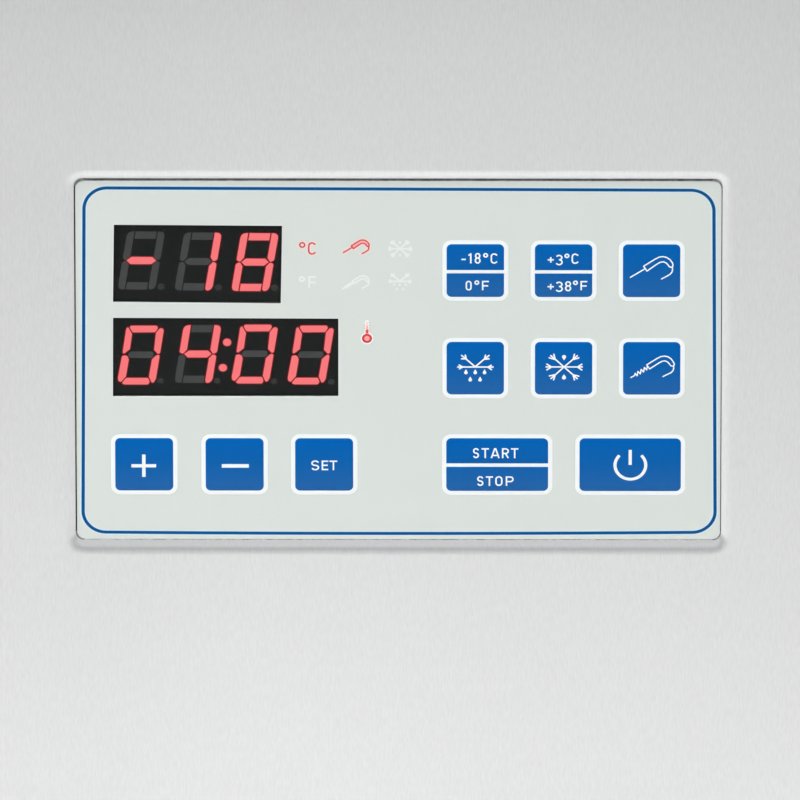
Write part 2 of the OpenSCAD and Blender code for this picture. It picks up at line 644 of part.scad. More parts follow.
module display_board() {
  color([0.10, 0.32, 0.18]) translate([0, 0, panel_z]) difference() {
    union() {
      slab_y(fy + 10.4, fy + 12) square([134, 79], center = true);
      for (k = K) translate([k[1], 0, k[2]]) slab_y(fy + 7, fy + 11) square([6, 6], center = true);
      for (l = LAMPS) translate([l[0], 0, l[1]]) slab_y(fy + 4, fy + 11) square([3, 2], center = true);
      translate([20, 0, 8]) slab_y(fy + 11.5, fy + 14.4) square([22, 16], center = true);
      translate([-40, 0, -30]) slab_y(fy + 11.5, fy + 18) square([26, 6], center = true);
    }
    for (s = [-1, 1]) {
      for (i = [-1 : 1]) translate([-44.8 + i * 12.7, 0, 23.6 + s * 7.35]) rod_y(fy + 9, fy + 14, 0.6);
      for (i = [-1.5 : 1.5]) translate([-38.5 + i * 12.7, 0, 0.9 + s * 7.35]) rod_y(fy + 9, fy + 14, 0.6);
    }
  }
}

module display_housing() {
  color([0.12, 0.12, 0.13]) translate([0, 0, panel_z]) difference() {
    slab_y(fy + 2.8, fy + 24) rrect(141, 86, 4);
    slab_y(fy + 1, fy + 22) rrect(137, 82, 2);
    translate([-40, 0, -30]) slab_y(fy + 20, fy + 30) square([24, 10], center = true);
  }
}

module key_freeze_preset() { key(0); }
module key_chill_preset() { key(1); }
module key_probe() { key(2); }
module key_defrost() { key(3); }
module key_snowflake() { key(4); }
module key_heated_probe() { key(5); }
module key_plus() { key(6); }
module key_minus() { key(7); }
module key_set() { key(8); }
module key_start_stop() { key(9); }
module key_power() { key(10); }

// ---- levelling feet ----
module foot(i, y) {
  color([0.65, 0.66, 0.68]) translate([i * feet_x, y, 0]) union() {
    cylinder(r = 21, h = 8);
    translate([0, 0, 7]) cylinder(r1 = 19, r2 = 9, h = 8);
    translate([0, 0, 15]) cylinder(r = 11, h = 9, $fn = 6);
    translate([0, 0, 10]) cylinder(r = 5, h = foot_h + 12);
  }
}
module foot_front_left() { foot(-1, feet_y[0]); }
module foot_front_right() { foot(1, feet_y[0]); }
module foot_rear_left() { foot(-1, feet_y[1]); }
module foot_rear_right() { foot(1, feet_y[1]); }

base_pan();
outer_wrap();
top_panel();
rear_panel();
rear_grille();
cabinet_foam();
chamber_liner();
door_frame_trim();
front_fascia();
hinge_brackets();
fasteners();
door_outer_skin();
door_inner_liner();
door_foam();
door_gasket();
door_handle();
door_hinge_bushes();
tray_racks();
shelf_lower();
shelf_upper();
fan_panel();
evap_fan_guard();
evap_fan_motor();
evap_fan_rotor();
evaporator_fins();
evaporator_tubes();
evap_drip_pan();
drain_pipe();
probe_socket();
probe_holder();
compressor();
compressor_mounts();
condenser_fins();
condenser_tubes();
condenser_shroud();
condenser_fan_motor();
condenser_fan_rotor();
refrigerant_lines();
electrical_box();
mains_gland();
control_overlay();
display_temp();
display_time();
display_board();
display_housing();
key_freeze_preset();
key_chill_preset();
key_probe();
key_defrost();
key_snowflake();
key_heated_probe();
key_plus();
key_minus();
key_set();
key_start_stop();
key_power();
foot_front_left();
foot_front_right();
foot_rear_left();
foot_rear_right();
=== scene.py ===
"""Looks of the blast chiller: millimetres in the builders below, metres in the meshes."""
import json
import math

import bmesh
import bpy
from mathutils import Matrix, Vector
from mathutils.geometry import delaunay_2d_cdt

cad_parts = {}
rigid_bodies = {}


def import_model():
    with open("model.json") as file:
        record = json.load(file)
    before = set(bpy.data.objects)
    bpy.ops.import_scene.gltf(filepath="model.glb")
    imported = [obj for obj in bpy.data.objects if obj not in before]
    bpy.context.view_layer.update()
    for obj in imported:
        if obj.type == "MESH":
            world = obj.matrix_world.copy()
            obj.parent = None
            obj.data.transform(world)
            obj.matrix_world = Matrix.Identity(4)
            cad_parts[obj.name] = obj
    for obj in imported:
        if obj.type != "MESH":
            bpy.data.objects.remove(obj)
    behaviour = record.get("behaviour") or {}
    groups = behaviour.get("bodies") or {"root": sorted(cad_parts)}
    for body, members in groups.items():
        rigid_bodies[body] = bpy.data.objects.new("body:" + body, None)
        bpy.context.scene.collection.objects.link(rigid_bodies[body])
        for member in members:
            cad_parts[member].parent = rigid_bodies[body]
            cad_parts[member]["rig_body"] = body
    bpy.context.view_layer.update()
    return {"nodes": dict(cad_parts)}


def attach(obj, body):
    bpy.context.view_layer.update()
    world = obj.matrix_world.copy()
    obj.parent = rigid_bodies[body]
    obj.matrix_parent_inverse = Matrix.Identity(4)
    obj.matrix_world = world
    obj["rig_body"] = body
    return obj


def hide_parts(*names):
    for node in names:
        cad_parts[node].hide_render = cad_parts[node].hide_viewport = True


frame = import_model()
NODES = frame["nodes"]
scene = bpy.context.scene
scene.view_settings.view_transform = "Standard"
scene.view_settings.look = "None"

FY = -334.0                  # front face of door and fascia
PZ0 = 215.0                  # height of the label's centre
SINK = 0.9                   # label surface below the steel
YL = FY + SINK

# ---------------------------------------------------------------- camera
ELEV, AZI, ROLL = math.radians(24.5), math.radians(0.22), math.radians(-0.034)
BACK = Vector((math.sin(AZI) * math.cos(ELEV), -math.cos(AZI) * math.cos(ELEV), math.sin(ELEV)))
_r = Vector((math.cos(AZI), math.sin(AZI), 0.0))
_u = BACK.cross(_r)
CR = _r * math.cos(ROLL) + _u * math.sin(ROLL)
CU = -_r * math.sin(ROLL) + _u * math.cos(ROLL)
FPX = 26975.5
CAM = Vector((0.0, YL / 1000, PZ0 / 1000)) + CR * 0.00026 - CU * 0.008748 + BACK * 6.0
cam_data = bpy.data.cameras.new("camera")
cam_data.lens = FPX * 36.0 / 800.0
cam_data.sensor_width = 36.0
cam_data.clip_start = 0.1
cam_data.clip_end = 60.0
cam = bpy.data.objects.new("camera", cam_data)
scene.collection.objects.link(cam)
cam.matrix_world = Matrix(((CR.x, CU.x, BACK.x, CAM.x), (CR.y, CU.y, BACK.y, CAM.y),
                           (CR.z, CU.z, BACK.z, CAM.z), (0, 0, 0, 1)))
scene.camera = cam


def P(u, v, deep=0.0):
    """Where the line of sight through frame point (u, v) meets the label's plane, or one deep mm behind it, in mm from the label's centre."""
    d = CR * ((u - 400.0) / FPX) + CU * ((400.0 - v) / FPX) - BACK
    t = ((YL + deep) / 1000 - CAM.y) / d.y
    q = CAM + d * t
    return (q.x * 1000, q.z * 1000 - PZ0)


# ---------------------------------------------------------------- materials
def lin(c):
    """A colour given as 0 to 255, as the shader's linear value."""
    return tuple(((x / 255 + 0.055) / 1.055) ** 2.4 if x > 10 else x / 255 / 12.92 for x in c) + (1.0,)


MATS = {}


def material(name, colour, rough=0.5, metal=0.0, spec=None, scale=(60, 60, 60), vary=0.04, rvary=0.08,
             bump=0.0, bump_d=0.0002, detail=3.0, aniso=0.0, tangent=False, coat=None, emit=None, emit_s=0.0,
             alpha=None, ior=None, trans=None, sheen=None, second=None, slow=None):
    """A Principled material whose colour, roughness and bump follow a stretched noise in object space.
    slow=(scale, place, amount) adds a second, wide change of tone."""
    m = bpy.data.materials.new(name)
    m.use_nodes = True
    nt = m.node_tree
    bsdf = next(n for n in nt.nodes if n.type == "BSDF_PRINCIPLED")
    bsdf.inputs["Metallic"].default_value = metal
    bsdf.inputs["Roughness"].default_value = rough
    if spec is not None:
        bsdf.inputs["Specular IOR Level"].default_value = spec
    if ior is not None:
        bsdf.inputs["IOR"].default_value = ior
    if coat is not None:
        bsdf.inputs["Coat Weight"].default_value = coat[0]
        bsdf.inputs["Coat Roughness"].default_value = coat[1]
    if alpha is not None:
        bsdf.inputs["Alpha"].default_value = alpha
    if trans is not None:
        bsdf.inputs["Transmission Weight"].default_value = trans
    if sheen is not None:
        bsdf.inputs["Sheen Weight"].default_value = sheen
    if aniso:
        bsdf.inputs["Anisotropic"].default_value = aniso
    if tangent:
        t = nt.nodes.new("ShaderNodeTangent")
        t.direction_type = "RADIAL"
        t.axis = "Z"
        nt.links.new(t.outputs["Tangent"], bsdf.inputs["Tangent"])
    if emit is not None:
        bsdf.inputs["Emission Color"].default_value = emit
        bsdf.inputs["Emission Strength"].default_value = emit_s
    co = nt.nodes.new("ShaderNodeTexCoord")
    mp = nt.nodes.new("ShaderNodeMapping")
    mp.inputs["Scale"].default_value = scale
    nz = nt.nodes.new("ShaderNodeTexNoise")
    nz.inputs["Scale"].default_value = 1.0
    nz.inputs["Detail"].default_value = detail
    nt.links.new(co.outputs["Object"], mp.inputs["Vector"])
    nt.links.new(mp.outputs["Vector"], nz.inputs["Vector"])
    ramp = nt.nodes.new("ShaderNodeValToRGB")
    lo = tuple(max(0.0, x * (1 - vary)) for x in colour[:3]) + (1.0,)
    hi = tuple(min(1.0, x * (1 + vary)) for x in (second or colour)[:3]) + (1.0,)
    ramp.color_ramp.elements[0].position = 0.3
    ramp.color_ramp.elements[0].color = lo
    ramp.color_ramp.elements[1].position = 0.7
    ramp.color_ramp.elements[1].color = hi
    nt.links.new(nz.outputs["Fac"], ramp.inputs["Fac"])
    if slow is None:
        nt.links.new(ramp.outputs["Color"], bsdf.inputs["Base Color"])
    else:
        m2 = nt.nodes.new("ShaderNodeMapping")
        m2.inputs["Scale"].default_value = slow[0]
        m2.inputs["Location"].default_value = slow[1]
        n2 = nt.nodes.new("ShaderNodeTexNoise")
        n2.inputs["Scale"].default_value = 1.0
        n2.inputs["Detail"].default_value = 1.0
        r2 = nt.nodes.new("ShaderNodeValToRGB")
        for el, p_, k_ in zip(r2.color_ramp.elements, (0.3, 0.7), (1 - 2 * slow[2], 1.0)):
            el.position, el.color = p_, (k_, k_, k_, 1)
        mul = nt.nodes.new("ShaderNodeMix")
        mul.data_type, mul.blend_type = "RGBA", "MULTIPLY"
        mul.inputs["Factor"].default_value = 1.0
        nt.links.new(co.outputs["Object"], m2.inputs["Vector"])
        nt.links.new(m2.outputs["Vector"], n2.inputs["Vector"])
        nt.links.new(n2.outputs["Fac"], r2.inputs["Fac"])
        nt.links.new(ramp.outputs["Color"], mul.inputs[6])
        nt.links.new(r2.outputs["Color"], mul.inputs[7])
        nt.links.new(mul.outputs[2], bsdf.inputs["Base Color"])
    if rvary:
        mr = nt.nodes.new("ShaderNodeMapRange")
        mr.inputs["From Min"].default_value = 0.3
        mr.inputs["From Max"].default_value = 0.7
        mr.inputs["To Min"].default_value = max(0.02, rough - rvary)
        mr.inputs["To Max"].default_value = min(1.0, rough + rvary)
        nt.links.new(nz.outputs["Fac"], mr.inputs["Value"])
        nt.links.new(mr.outputs["Result"], bsdf.inputs["Roughness"])
    if bump:
        b = nt.nodes.new("ShaderNodeBump")
        b.inputs["Strength"].default_value = bump
        b.inputs["Distance"].default_value = bump_d
        nt.links.new(nz.outputs["Fac"], b.inputs["Height"])
        nt.links.new(b.outputs["Normal"], bsdf.inputs["Normal"])
    MATS[name] = m
    return m


steel_v = material("brushed_steel_vertical", (0.815, 0.815, 0.825), rough=0.30, metal=1.0, scale=(2700, 2700, 470),
                   vary=0.031, rvary=0.02, bump=0.005, bump_d=0.00002, detail=2, aniso=0.45, tangent=True,
                   slow=((9, 9, 1.6), (0.35, 0.0, 0.2), 0.03))
steel_x = material("brushed_steel_along_x", (0.78, 0.78, 0.79), rough=0.32, metal=1.0, scale=(9, 2200, 2200),
                   vary=0.03, rvary=0.04, bump=0.12, bump_d=0.00002, detail=2)
steel_in = material("chamber_steel", (0.74, 0.75, 0.76), rough=0.26, metal=1.0, scale=(900, 900, 14),
                    vary=0.03, rvary=0.05, bump=0.08, bump_d=0.00003, detail=2)
galv = material("galvanised_sheet", (0.55, 0.57, 0.58), rough=0.42, metal=0.9, scale=(70, 70, 70), vary=0.16,
                rvary=0.10, bump=0.05, bump_d=0.0001, detail=1)
foam = material("yellow_foam", (0.78, 0.66, 0.36), rough=0.9, scale=(700, 700, 700), vary=0.12, rvary=0.05,
                bump=0.7, bump_d=0.0006, detail=4)
black_pl = material("black_moulded_plastic", (0.022, 0.023, 0.025), rough=0.48, scale=(1500, 1500, 1500), vary=0.15,
                    bump=0.25, bump_d=0.00006, detail=3)
trim_pl = material("dark_frame_plastic", (0.035, 0.037, 0.040), rough=0.42, scale=(1100, 1100, 1100), vary=0.12,
                   bump=0.2, bump_d=0.00006)
rubber = material("seal_rubber", (0.035, 0.035, 0.036), rough=0.72, spec=0.35, scale=(420, 420, 420), vary=0.15,
                  rvary=0.06, bump=0.2, bump_d=0.0001)
bracket = material("bracket_steel", (0.60, 0.61, 0.62), rough=0.34, metal=1.0, scale=(320, 320, 320), vary=0.05,
                   rvary=0.08, bump=0.1, bump_d=0.00005)
zinc = material("zinc_plated_steel", (0.66, 0.68, 0.70), rough=0.28, metal=1.0, scale=(240, 240, 240), vary=0.06,
                rvary=0.08, bump=0.05, bump_d=0.00005)
chrome = material("bright_chrome_wire", (0.80, 0.81, 0.82), rough=0.14, metal=1.0, scale=(260, 260, 260), vary=0.03,
                  rvary=0.05)
grip = material("handle_anodised", (0.10, 0.105, 0.11), rough=0.36, metal=0.35, scale=(900, 900, 900), vary=0.10,
                rvary=0.06, bump=0.12, bump_d=0.00004)
nylon = material("natural_nylon", (0.72, 0.71, 0.66), rough=0.45, scale=(500, 500, 500), vary=0.05, bump=0.1)
enamel = material("black_enamel", (0.012, 0.012, 0.013), rough=0.24, scale=(160, 160, 160), vary=0.2, rvary=0.06,
                  bump=0.12, bump_d=0.00025, coat=(0.4, 0.15))
motor = material("motor_enamel", (0.055, 0.06, 0.065), rough=0.38, scale=(300, 300, 300), vary=0.1, bump=0.15)
fan_pl = material("fan_plastic", (0.020, 0.020, 0.022), rough=0.40, scale=(700, 700, 700), vary=0.15, bump=0.1)
fan_al = material("fan_aluminium", (0.62, 0.63, 0.64), rough=0.34, metal=1.0, scale=(300, 300, 300), vary=0.05)
fins = material("fin_aluminium", (0.76, 0.77, 0.78), rough=0.36, metal=1.0, scale=(200, 200, 40), vary=0.06,
                rvary=0.08, bump=0.1, bump_d=0.0001)
copper = material("copper_tube", (0.72, 0.36, 0.22), rough=0.28, metal=1.0, scale=(110, 110, 110), vary=0.14,
                  rvary=0.08, bump=0.04, second=(0.62, 0.33, 0.22))
grey_box = material("grey_enclosure", (0.36, 0.38, 0.40), rough=0.5, scale=(900, 900, 900), vary=0.05, bump=0.25,
                    bump_d=0.00008)
pcb = material("circuit_board", (0.02, 0.12, 0.05), rough=0.35, scale=(420, 420, 420), vary=0.3, rvary=0.08,
               bump=0.15, bump_d=0.00008)
thread = material("threaded_steel", (0.58, 0.59, 0.60), rough=0.33, metal=1.0, scale=(500, 500, 2400), vary=0.10,
                  rvary=0.07, bump=0.2, bump_d=0.00008)
pipe_pl = material("drain_plastic", (0.66, 0.66, 0.63), rough=0.42, scale=(500, 500, 500), vary=0.04, bump=0.08)

# the printed label
# painted shade and painted light: the ring under the label's edge is dark where the pocket's wall shades it (darkest
# left, then top, right, corners) and pale at the bottom as painted light
edge_shade_top = material("painted_shade_edge_top", (0.17, 0.172, 0.174), rough=0.7, spec=0.2, scale=(900, 900, 900), vary=0.3)
edge_shade_left = material("painted_shade_edge_left", (0.08, 0.081, 0.083), rough=0.7, spec=0.2, scale=(900, 900, 900), vary=0.3)
edge_shade_right = material("painted_shade_edge_right", (0.20, 0.201, 0.202), rough=0.7, spec=0.2, scale=(900, 900, 900), vary=0.3)
edge_light_bottom = material("painted_light_edge_bottom", (0.84, 0.842, 0.842), rough=0.7, spec=0.2, scale=(900, 900, 900), vary=0.3)
edge_shade_corner = material("painted_shade_edge_corner", (0.40, 0.40, 0.40), rough=0.7, spec=0.2, scale=(900, 900, 900), vary=0.3)
# painted shadow: near-black ring standing in for the shade of each window's wall
window_shadow_ring = material("painted_window_edge_shadow", (0.0035, 0.0038, 0.0036), rough=0.6, spec=0.1, scale=(900, 900, 900), vary=0.2)
label = material("label_print", lin((222, 228, 223)), rough=0.52, spec=0.25, scale=(2400, 2400, 2400), vary=0.006,
                 rvary=0.03, bump=0.05, bump_d=0.00001, detail=2)
blue = material("blue_line_ink", lin((10, 84, 144)), rough=0.5, spec=0.05, scale=(2400, 2400, 2400), vary=0.03)
halo = material("pale_line_border", lin((214, 236, 247)), rough=0.5, spec=0.2, scale=(2400, 2400, 2400), vary=0.01)
white = material("white_ink", (0.94, 0.985, 1.0), rough=0.5, spec=0.2, scale=(2400, 2400, 2400), vary=0.006)
ghost = material("unlit_symbol_ink", lin((238, 243, 240)), rough=0.5, spec=0.2, scale=(2400, 2400, 2400), vary=0.008)
red_ink = material("lit_symbol_red", lin((200, 84, 90)), rough=0.5, spec=0.1, scale=(1500, 1500, 1500), vary=0.04,
                   emit=lin((216, 60, 66)), emit_s=0.06)
pink = material("lit_symbol_glow", lin((248, 216, 210)), rough=0.5, spec=0.2, scale=(1500, 1500, 1500), vary=0.02,
                emit=lin((255, 190, 180)), emit_s=0.08)
pink2 = material("lit_symbol_core", lin((255, 170, 165)), rough=0.5, spec=0.2, scale=(1500, 1500, 1500), vary=0.03,
                 emit=lin((255, 130, 130)), emit_s=0.25)
dark_red = material("lamp_ring_red", lin((200, 30, 38)), rough=0.5, spec=0.2, scale=(1500, 1500, 1500), vary=0.05,
                    emit=lin((170, 20, 30)), emit_s=0.10)
lamp = material("lamp_glow_red", lin((226, 84, 90)), rough=0.5, spec=0.1, scale=(1500, 1500, 1500), vary=0.04,
                emit=lin((226, 70, 76)), emit_s=0.1)
tick = material("scale_tick_ink", lin((204, 204, 202)), rough=0.5, spec=0.2, scale=(1500, 1500, 1500), vary=0.03)
led_black = material("led_face_black", lin((26, 29, 28)), rough=0.5, spec=0.12, scale=(1800, 1800, 1800), vary=0.10,
                     rvary=0.05, bump=0.1, bump_d=0.00002)
led_dim = material("led_point_off", lin((60, 61, 61)), rough=0.55, spec=0.12, scale=(1600, 1600, 1600), vary=0.06)
led_off = material("led_segment_off", lin((74, 75, 75)), rough=0.55, spec=0.15, scale=(1600, 1600, 1600), vary=0.06)
led_on = material("led_segment_on", lin((60, 10, 12)), rough=0.5, spec=0.1, scale=(1600, 1600, 1600), vary=0.05,
                  emit=lin((254, 125, 128)), emit_s=1.0)
led_edge = material("led_segment_edge", lin((60, 8, 10)), rough=0.5, spec=0.1, scale=(1600, 1600, 1600), vary=0.05,
                    emit=lin((120, 10, 18)), emit_s=1.0)
film = material("clear_window_film", (0.02, 0.02, 0.021), rough=0.32, spec=0.10, scale=(600, 600, 600), vary=0.05,
                rvary=0.03, alpha=0.05)


def key_material_painted_shade():
    """Blue ink with painted shade: a little lighter towards the foot of each key, by the height stored with the mesh.
    """
    m = bpy.data.materials.new("key_blue_ink_painted_shade")
    m.use_nodes = True
    nt = m.node_tree
    b = next(n for n in nt.nodes if n.type == "BSDF_PRINCIPLED")
    b.inputs["Specular IOR Level"].default_value = 0.03
    at = nt.nodes.new("ShaderNodeAttribute")
    at.attribute_name = "key_height"
    ramp = nt.nodes.new("ShaderNodeValToRGB")
    e = ramp.color_ramp.elements
    # painted shade: lighter, greyer blue at the foot of the key, deeper blue at its top
    e[0].position, e[0].color = 0.0, lin((40, 104, 174))
    e[1].position, e[1].color = 1.0, lin((0, 101, 186))
    mid = ramp.color_ramp.elements.new(0.55)
    mid.color = lin((14, 100, 178))
    nt.links.new(at.outputs["Fac"], ramp.inputs["Fac"])
    co = nt.nodes.new("ShaderNodeTexCoord")
    nz = nt.nodes.new("ShaderNodeTexNoise")
    nz.inputs["Scale"].default_value = 900.0
    nz.inputs["Detail"].default_value = 3.0
    nt.links.new(co.outputs["Object"], nz.inputs["Vector"])
    mix = nt.nodes.new("ShaderNodeMix")
    mix.data_type = "RGBA"
    mix.blend_type = "MULTIPLY"
    mix.inputs["Factor"].default_value = 0.08
    nt.links.new(ramp.outputs["Color"], mix.inputs[6])
    nt.links.new(nz.outputs["Color"], mix.inputs[7])
    nt.links.new(mix.outputs[2], b.inputs["Base Color"])
    mr = nt.nodes.new("ShaderNodeMapRange")
    mr.inputs["To Min"].default_value = 0.42
    mr.inputs["To Max"].default_value = 0.56
    nt.links.new(nz.outputs["Fac"], mr.inputs["Value"])
    nt.links.new(mr.outputs["Result"], b.inputs["Roughness"])
    MATS["key_blue_ink_painted_shade"] = m
    return m


key_blue = key_material_painted_shade()


# ---------------------------------------------------------------- shapes
def rr(hw, hh, r, n=8, cx=0.0, cz=0.0):
    """A rounded rectangle, counter-clockwise, 4(n+1) points."""
    r = max(min(r, hw, hh), 1e-3)
    out = []
    for k, (sx, sz) in enumerate(((1, -1), (1, 1), (-1, 1), (-1, -1))):
        for i in range(n + 1):
            a = -math.pi / 2 + (k + i / n) * math.pi / 2
            out.append((cx + sx * (hw - r) + r * math.cos(a), cz + sz * (hh - r) + r * math.sin(a)))
    return out


def quad_round(q, grow_by, r, n=14):
    """A four-cornered shape (counter-clockwise from lower right) pushed out by grow_by, with its corners rounded."""
    out = []
    for i in range(4):
        a, b, c = Vector(q[i - 1]), Vector(q[i]), Vector(q[(i + 1) % 4])
        u, v = (b - a).normalized(), (c - b).normalized()
        n1, n2 = Vector((u.y, -u.x)), Vector((v.y, -v.x))
        m = (n1 + n2) / (1 + n1.dot(n2))
        p = b + m * grow_by
        k = p - m * r
        a0, a1 = math.atan2(n1.y, n1.x), math.atan2(n2.y, n2.x)
        if a1 < a0:
            a1 += 2 * math.pi
        arc_ = [(k.x + r * math.cos(a0 + (a1 - a0) * j / n), k.y + r * math.sin(a0 + (a1 - a0) * j / n))
                for j in range(n + 1)]
        if out:
            (xa, za), (xb, zb) = out[-1], arc_[0]
            out += [(xa + (xb - xa) * j / 16, za + (zb - za) * j / 16) for j in range(1, 16)]
        out += arc_
    (xa, za), (xb, zb) = out[-1], out[0]
    out += [(xa + (xb - xa) * j / 16, za + (zb - za) * j / 16) for j in range(1, 16)]
    return out


def disc(cx, cz, r, n=20, k=1.0):
    return [(cx + r * math.cos(2 * math.pi * i / n), cz + k * r * math.sin(2 * math.pi * i / n)) for i in range(n)]


def stroke(pts, w, closed=False, cap="butt"):
    """A line of width w as polygons: one quad a stretch, and a disc at each bend."""
    out = []
    n = len(pts)
    ends = range(n if closed else n - 1)
    for i in ends:
        (x0, z0), (x1, z1) = pts[i], pts[(i + 1) % n]
        l = math.hypot(x1 - x0, z1 - z0)
        if l < 1e-6:
            continue
        nx, nz = -(z1 - z0) / l * w / 2, (x1 - x0) / l * w / 2
        out.append([(x0 - nx, z0 - nz), (x1 - nx, z1 - nz), (x1 + nx, z1 + nz), (x0 + nx, z0 + nz)])
    for i in range(n):
        inner = closed or 0 < i < n - 1
        if inner or cap == "round":
            if inner:
                a, b, c = pts[(i - 1) % n], pts[i], pts[(i + 1) % n]
                t = (b[0] - a[0]) * (c[1] - b[1]) - (b[1] - a[1]) * (c[0] - b[0])
                la, lb = math.dist(a, b), math.dist(b, c)
                if la * lb > 0 and abs(t) / (la * lb) < 0.02:
                    continue
            out.append(disc(pts[i][0], pts[i][1], w / 2, 14))
    return out


def arc(cx, cz, rx, rz, a0, a1, n=14):
    return [(cx + rx * math.cos(math.radians(a0 + (a1 - a0) * i / n)),
             cz + rz * math.sin(math.radians(a0 + (a1 - a0) * i / n))) for i in range(n + 1)]


def inside(poly, x, z):
    hit = False
    j = len(poly) - 1
    for i in range(len(poly)):
        xi, zi = poly[i]
        xj, zj = poly[j]
        if (zi > z) != (zj > z) and x < (xj - xi) * (z - zi) / (zj - zi) + xi:
            hit = not hit
        j = i
    return hit


def poly_box(p):
    return min(a for a, _ in p), max(a for a, _ in p), min(b for _, b in p), max(b for _, b in p)


def cdt(outline, holes, inks, extra=()):
    """Triangles that cover outline but not holes, split along every ink's border. Returns points, triangles and each triangle's ink, 0 for bare."""
    pts, edges = [], []

    def put(poly):
        k, n = len(pts), len(poly)
        pts.extend(Vector(p) for p in poly)
        edges.extend((k + i, k + (i + 1) % n) for i in range(n))

    put(outline)
    for h in holes:
        put(h)
    flat = []
    for index, polys in inks:
        for p in polys:
            put(p)
            flat.append((index, p, poly_box(p)))
    for p in extra:
        pts.append(Vector(p))
    vs, _, fs, _, _, _ = delaunay_2d_cdt(pts, edges, [], 0, 2e-4)
    hb = [(h, poly_box(h)) for h in holes]
    tris, ink = [], []
    for f in fs:
        cx = sum(vs[i].x for i in f) / 3
        cz = sum(vs[i].y for i in f) / 3
        if not inside(outline, cx, cz):
            continue
        if any(b[0] < cx < b[1] and b[2] < cz < b[3] and inside(h, cx, cz) for h, b in hb):
            continue
        found = 0
        for index, p, b in flat:
            if b[0] <= cx <= b[1] and b[2] <= cz <= b[3] and inside(p, cx, cz):
                found = index
        a, b2, c = (vs[i] for i in f)
        if (b2.x - a.x) * (c.y - a.y) - (b2.y - a.y) * (c.x - a.x) < 0:
            f = f[::-1]
        tris.append(tuple(f))
        ink.append(found)
    return [(v.x, v.y) for v in vs], tris, ink


class Build:
    """Collects faces in millimetres and makes one object of them."""

    def __init__(self):
        self.v, self.f, self.m, self.s = [], [], [], []

    def add(self, pts):
        k = len(self.v)
        self.v.extend(tuple(p) for p in pts)
        return list(range(k, k + len(pts)))

    def face(self, idx, mat=0, smooth=False):
        self.f.append(tuple(idx))
        self.m.append(mat)
        self.s.append(smooth)

    def bridge(self, a, b, mat=0, smooth=True, closed=True):
        n = len(a)
        for i in range(n if closed else n - 1):
            j = (i + 1) % n
            self.face((a[i], a[j], b[j], b[i]), mat, smooth)

    def loft(self, loops, mat=0, smooth=True, cap0=True, cap1=True):
        ids = [self.add(l) for l in loops]
        for a, b in zip(ids, ids[1:]):
            self.bridge(a, b, mat, smooth)
        if cap0:
            self.face(ids[0][::-1], mat)
        if cap1:
            self.face(ids[-1], mat)
        return ids

    def plate(self, pts, tris, inks, y, flip=False, smooth=False):
        ids = self.add([(x, y(x, z) if callable(y) else y, z) for x, z in pts])
        for t, k in zip(tris, inks):
            t = tuple(ids[i] for i in t)
            self.face(t[::-1] if flip else t, k, smooth)
        return ids

    def mesh(self, verts, faces, mat=0, smooth=True):
        ids = self.add(verts)
        for f in faces:
            self.face([ids[i] for i in f], mat, smooth)

    def lathe(self, profile, origin=(0, 0, 0), axis="Z", n=48, mat=0):
        """profile: (radius, distance along the axis) from one end to the other."""
        loops = []
        for r, h in profile:
            r = max(r, 1e-3)
            ring = []
            for i in range(n):
                a = 2 * math.pi * i / n
                c, s = r * math.cos(a), r * math.sin(a)
                p = {"Z": (c, s, h), "Y": (c, h, s), "X": (h, c, s)}[axis]
                ring.append((p[0] + origin[0], p[1] + origin[1], p[2] + origin[2]))
            loops.append(ring)
        self.loft(loops, mat)

    def rbox(self, lo, hi, r, seg=3, mat=0):
        bm = bmesh.new()
        bmesh.ops.create_cube(bm, size=1.0)
        for v in bm.verts:
            v.co = Vector([lo[i] + (v.co[i] + 0.5) * (hi[i] - lo[i]) for i in range(3)])
        bmesh.ops.bevel(bm, geom=list(bm.edges), offset=r, segments=seg, profile=0.5, affect="EDGES",
                        clamp_overlap=True)
        bm.verts.index_update()
        self.mesh([tuple(v.co) for v in bm.verts], [[v.index for v in f.verts] for f in bm.faces], mat)
        bm.free()

    def out(self, name, mats, body="root", replaces=(), slot=None, sharp=38, normals=True, weld=2e-6):
        me = bpy.data.meshes.new(name)
        me.from_pydata([(x / 1000, y / 1000, z / 1000) for x, y, z in self.v], [], self.f)
        for m in mats:
            me.materials.append(m)
        me.polygons.foreach_set("material_index", self.m)
        me.polygons.foreach_set("use_smooth", self.s)
        bm = bmesh.new()
        bm.from_mesh(me)
        bmesh.ops.remove_doubles(bm, verts=bm.verts, dist=weld)
        bmesh.ops.dissolve_degenerate(bm, edges=bm.edges, dist=1e-7)
        if normals:
            bmesh.ops.recalc_face_normals(bm, faces=bm.faces)
        bm.to_mesh(me)
        bm.free()
        me.set_sharp_from_angle(angle=math.radians(sharp))
        ob = bpy.data.objects.new(name, me)
        scene.collection.objects.link(ob)
        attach(ob, body)
        if replaces:
            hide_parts(*replaces)
        return ob


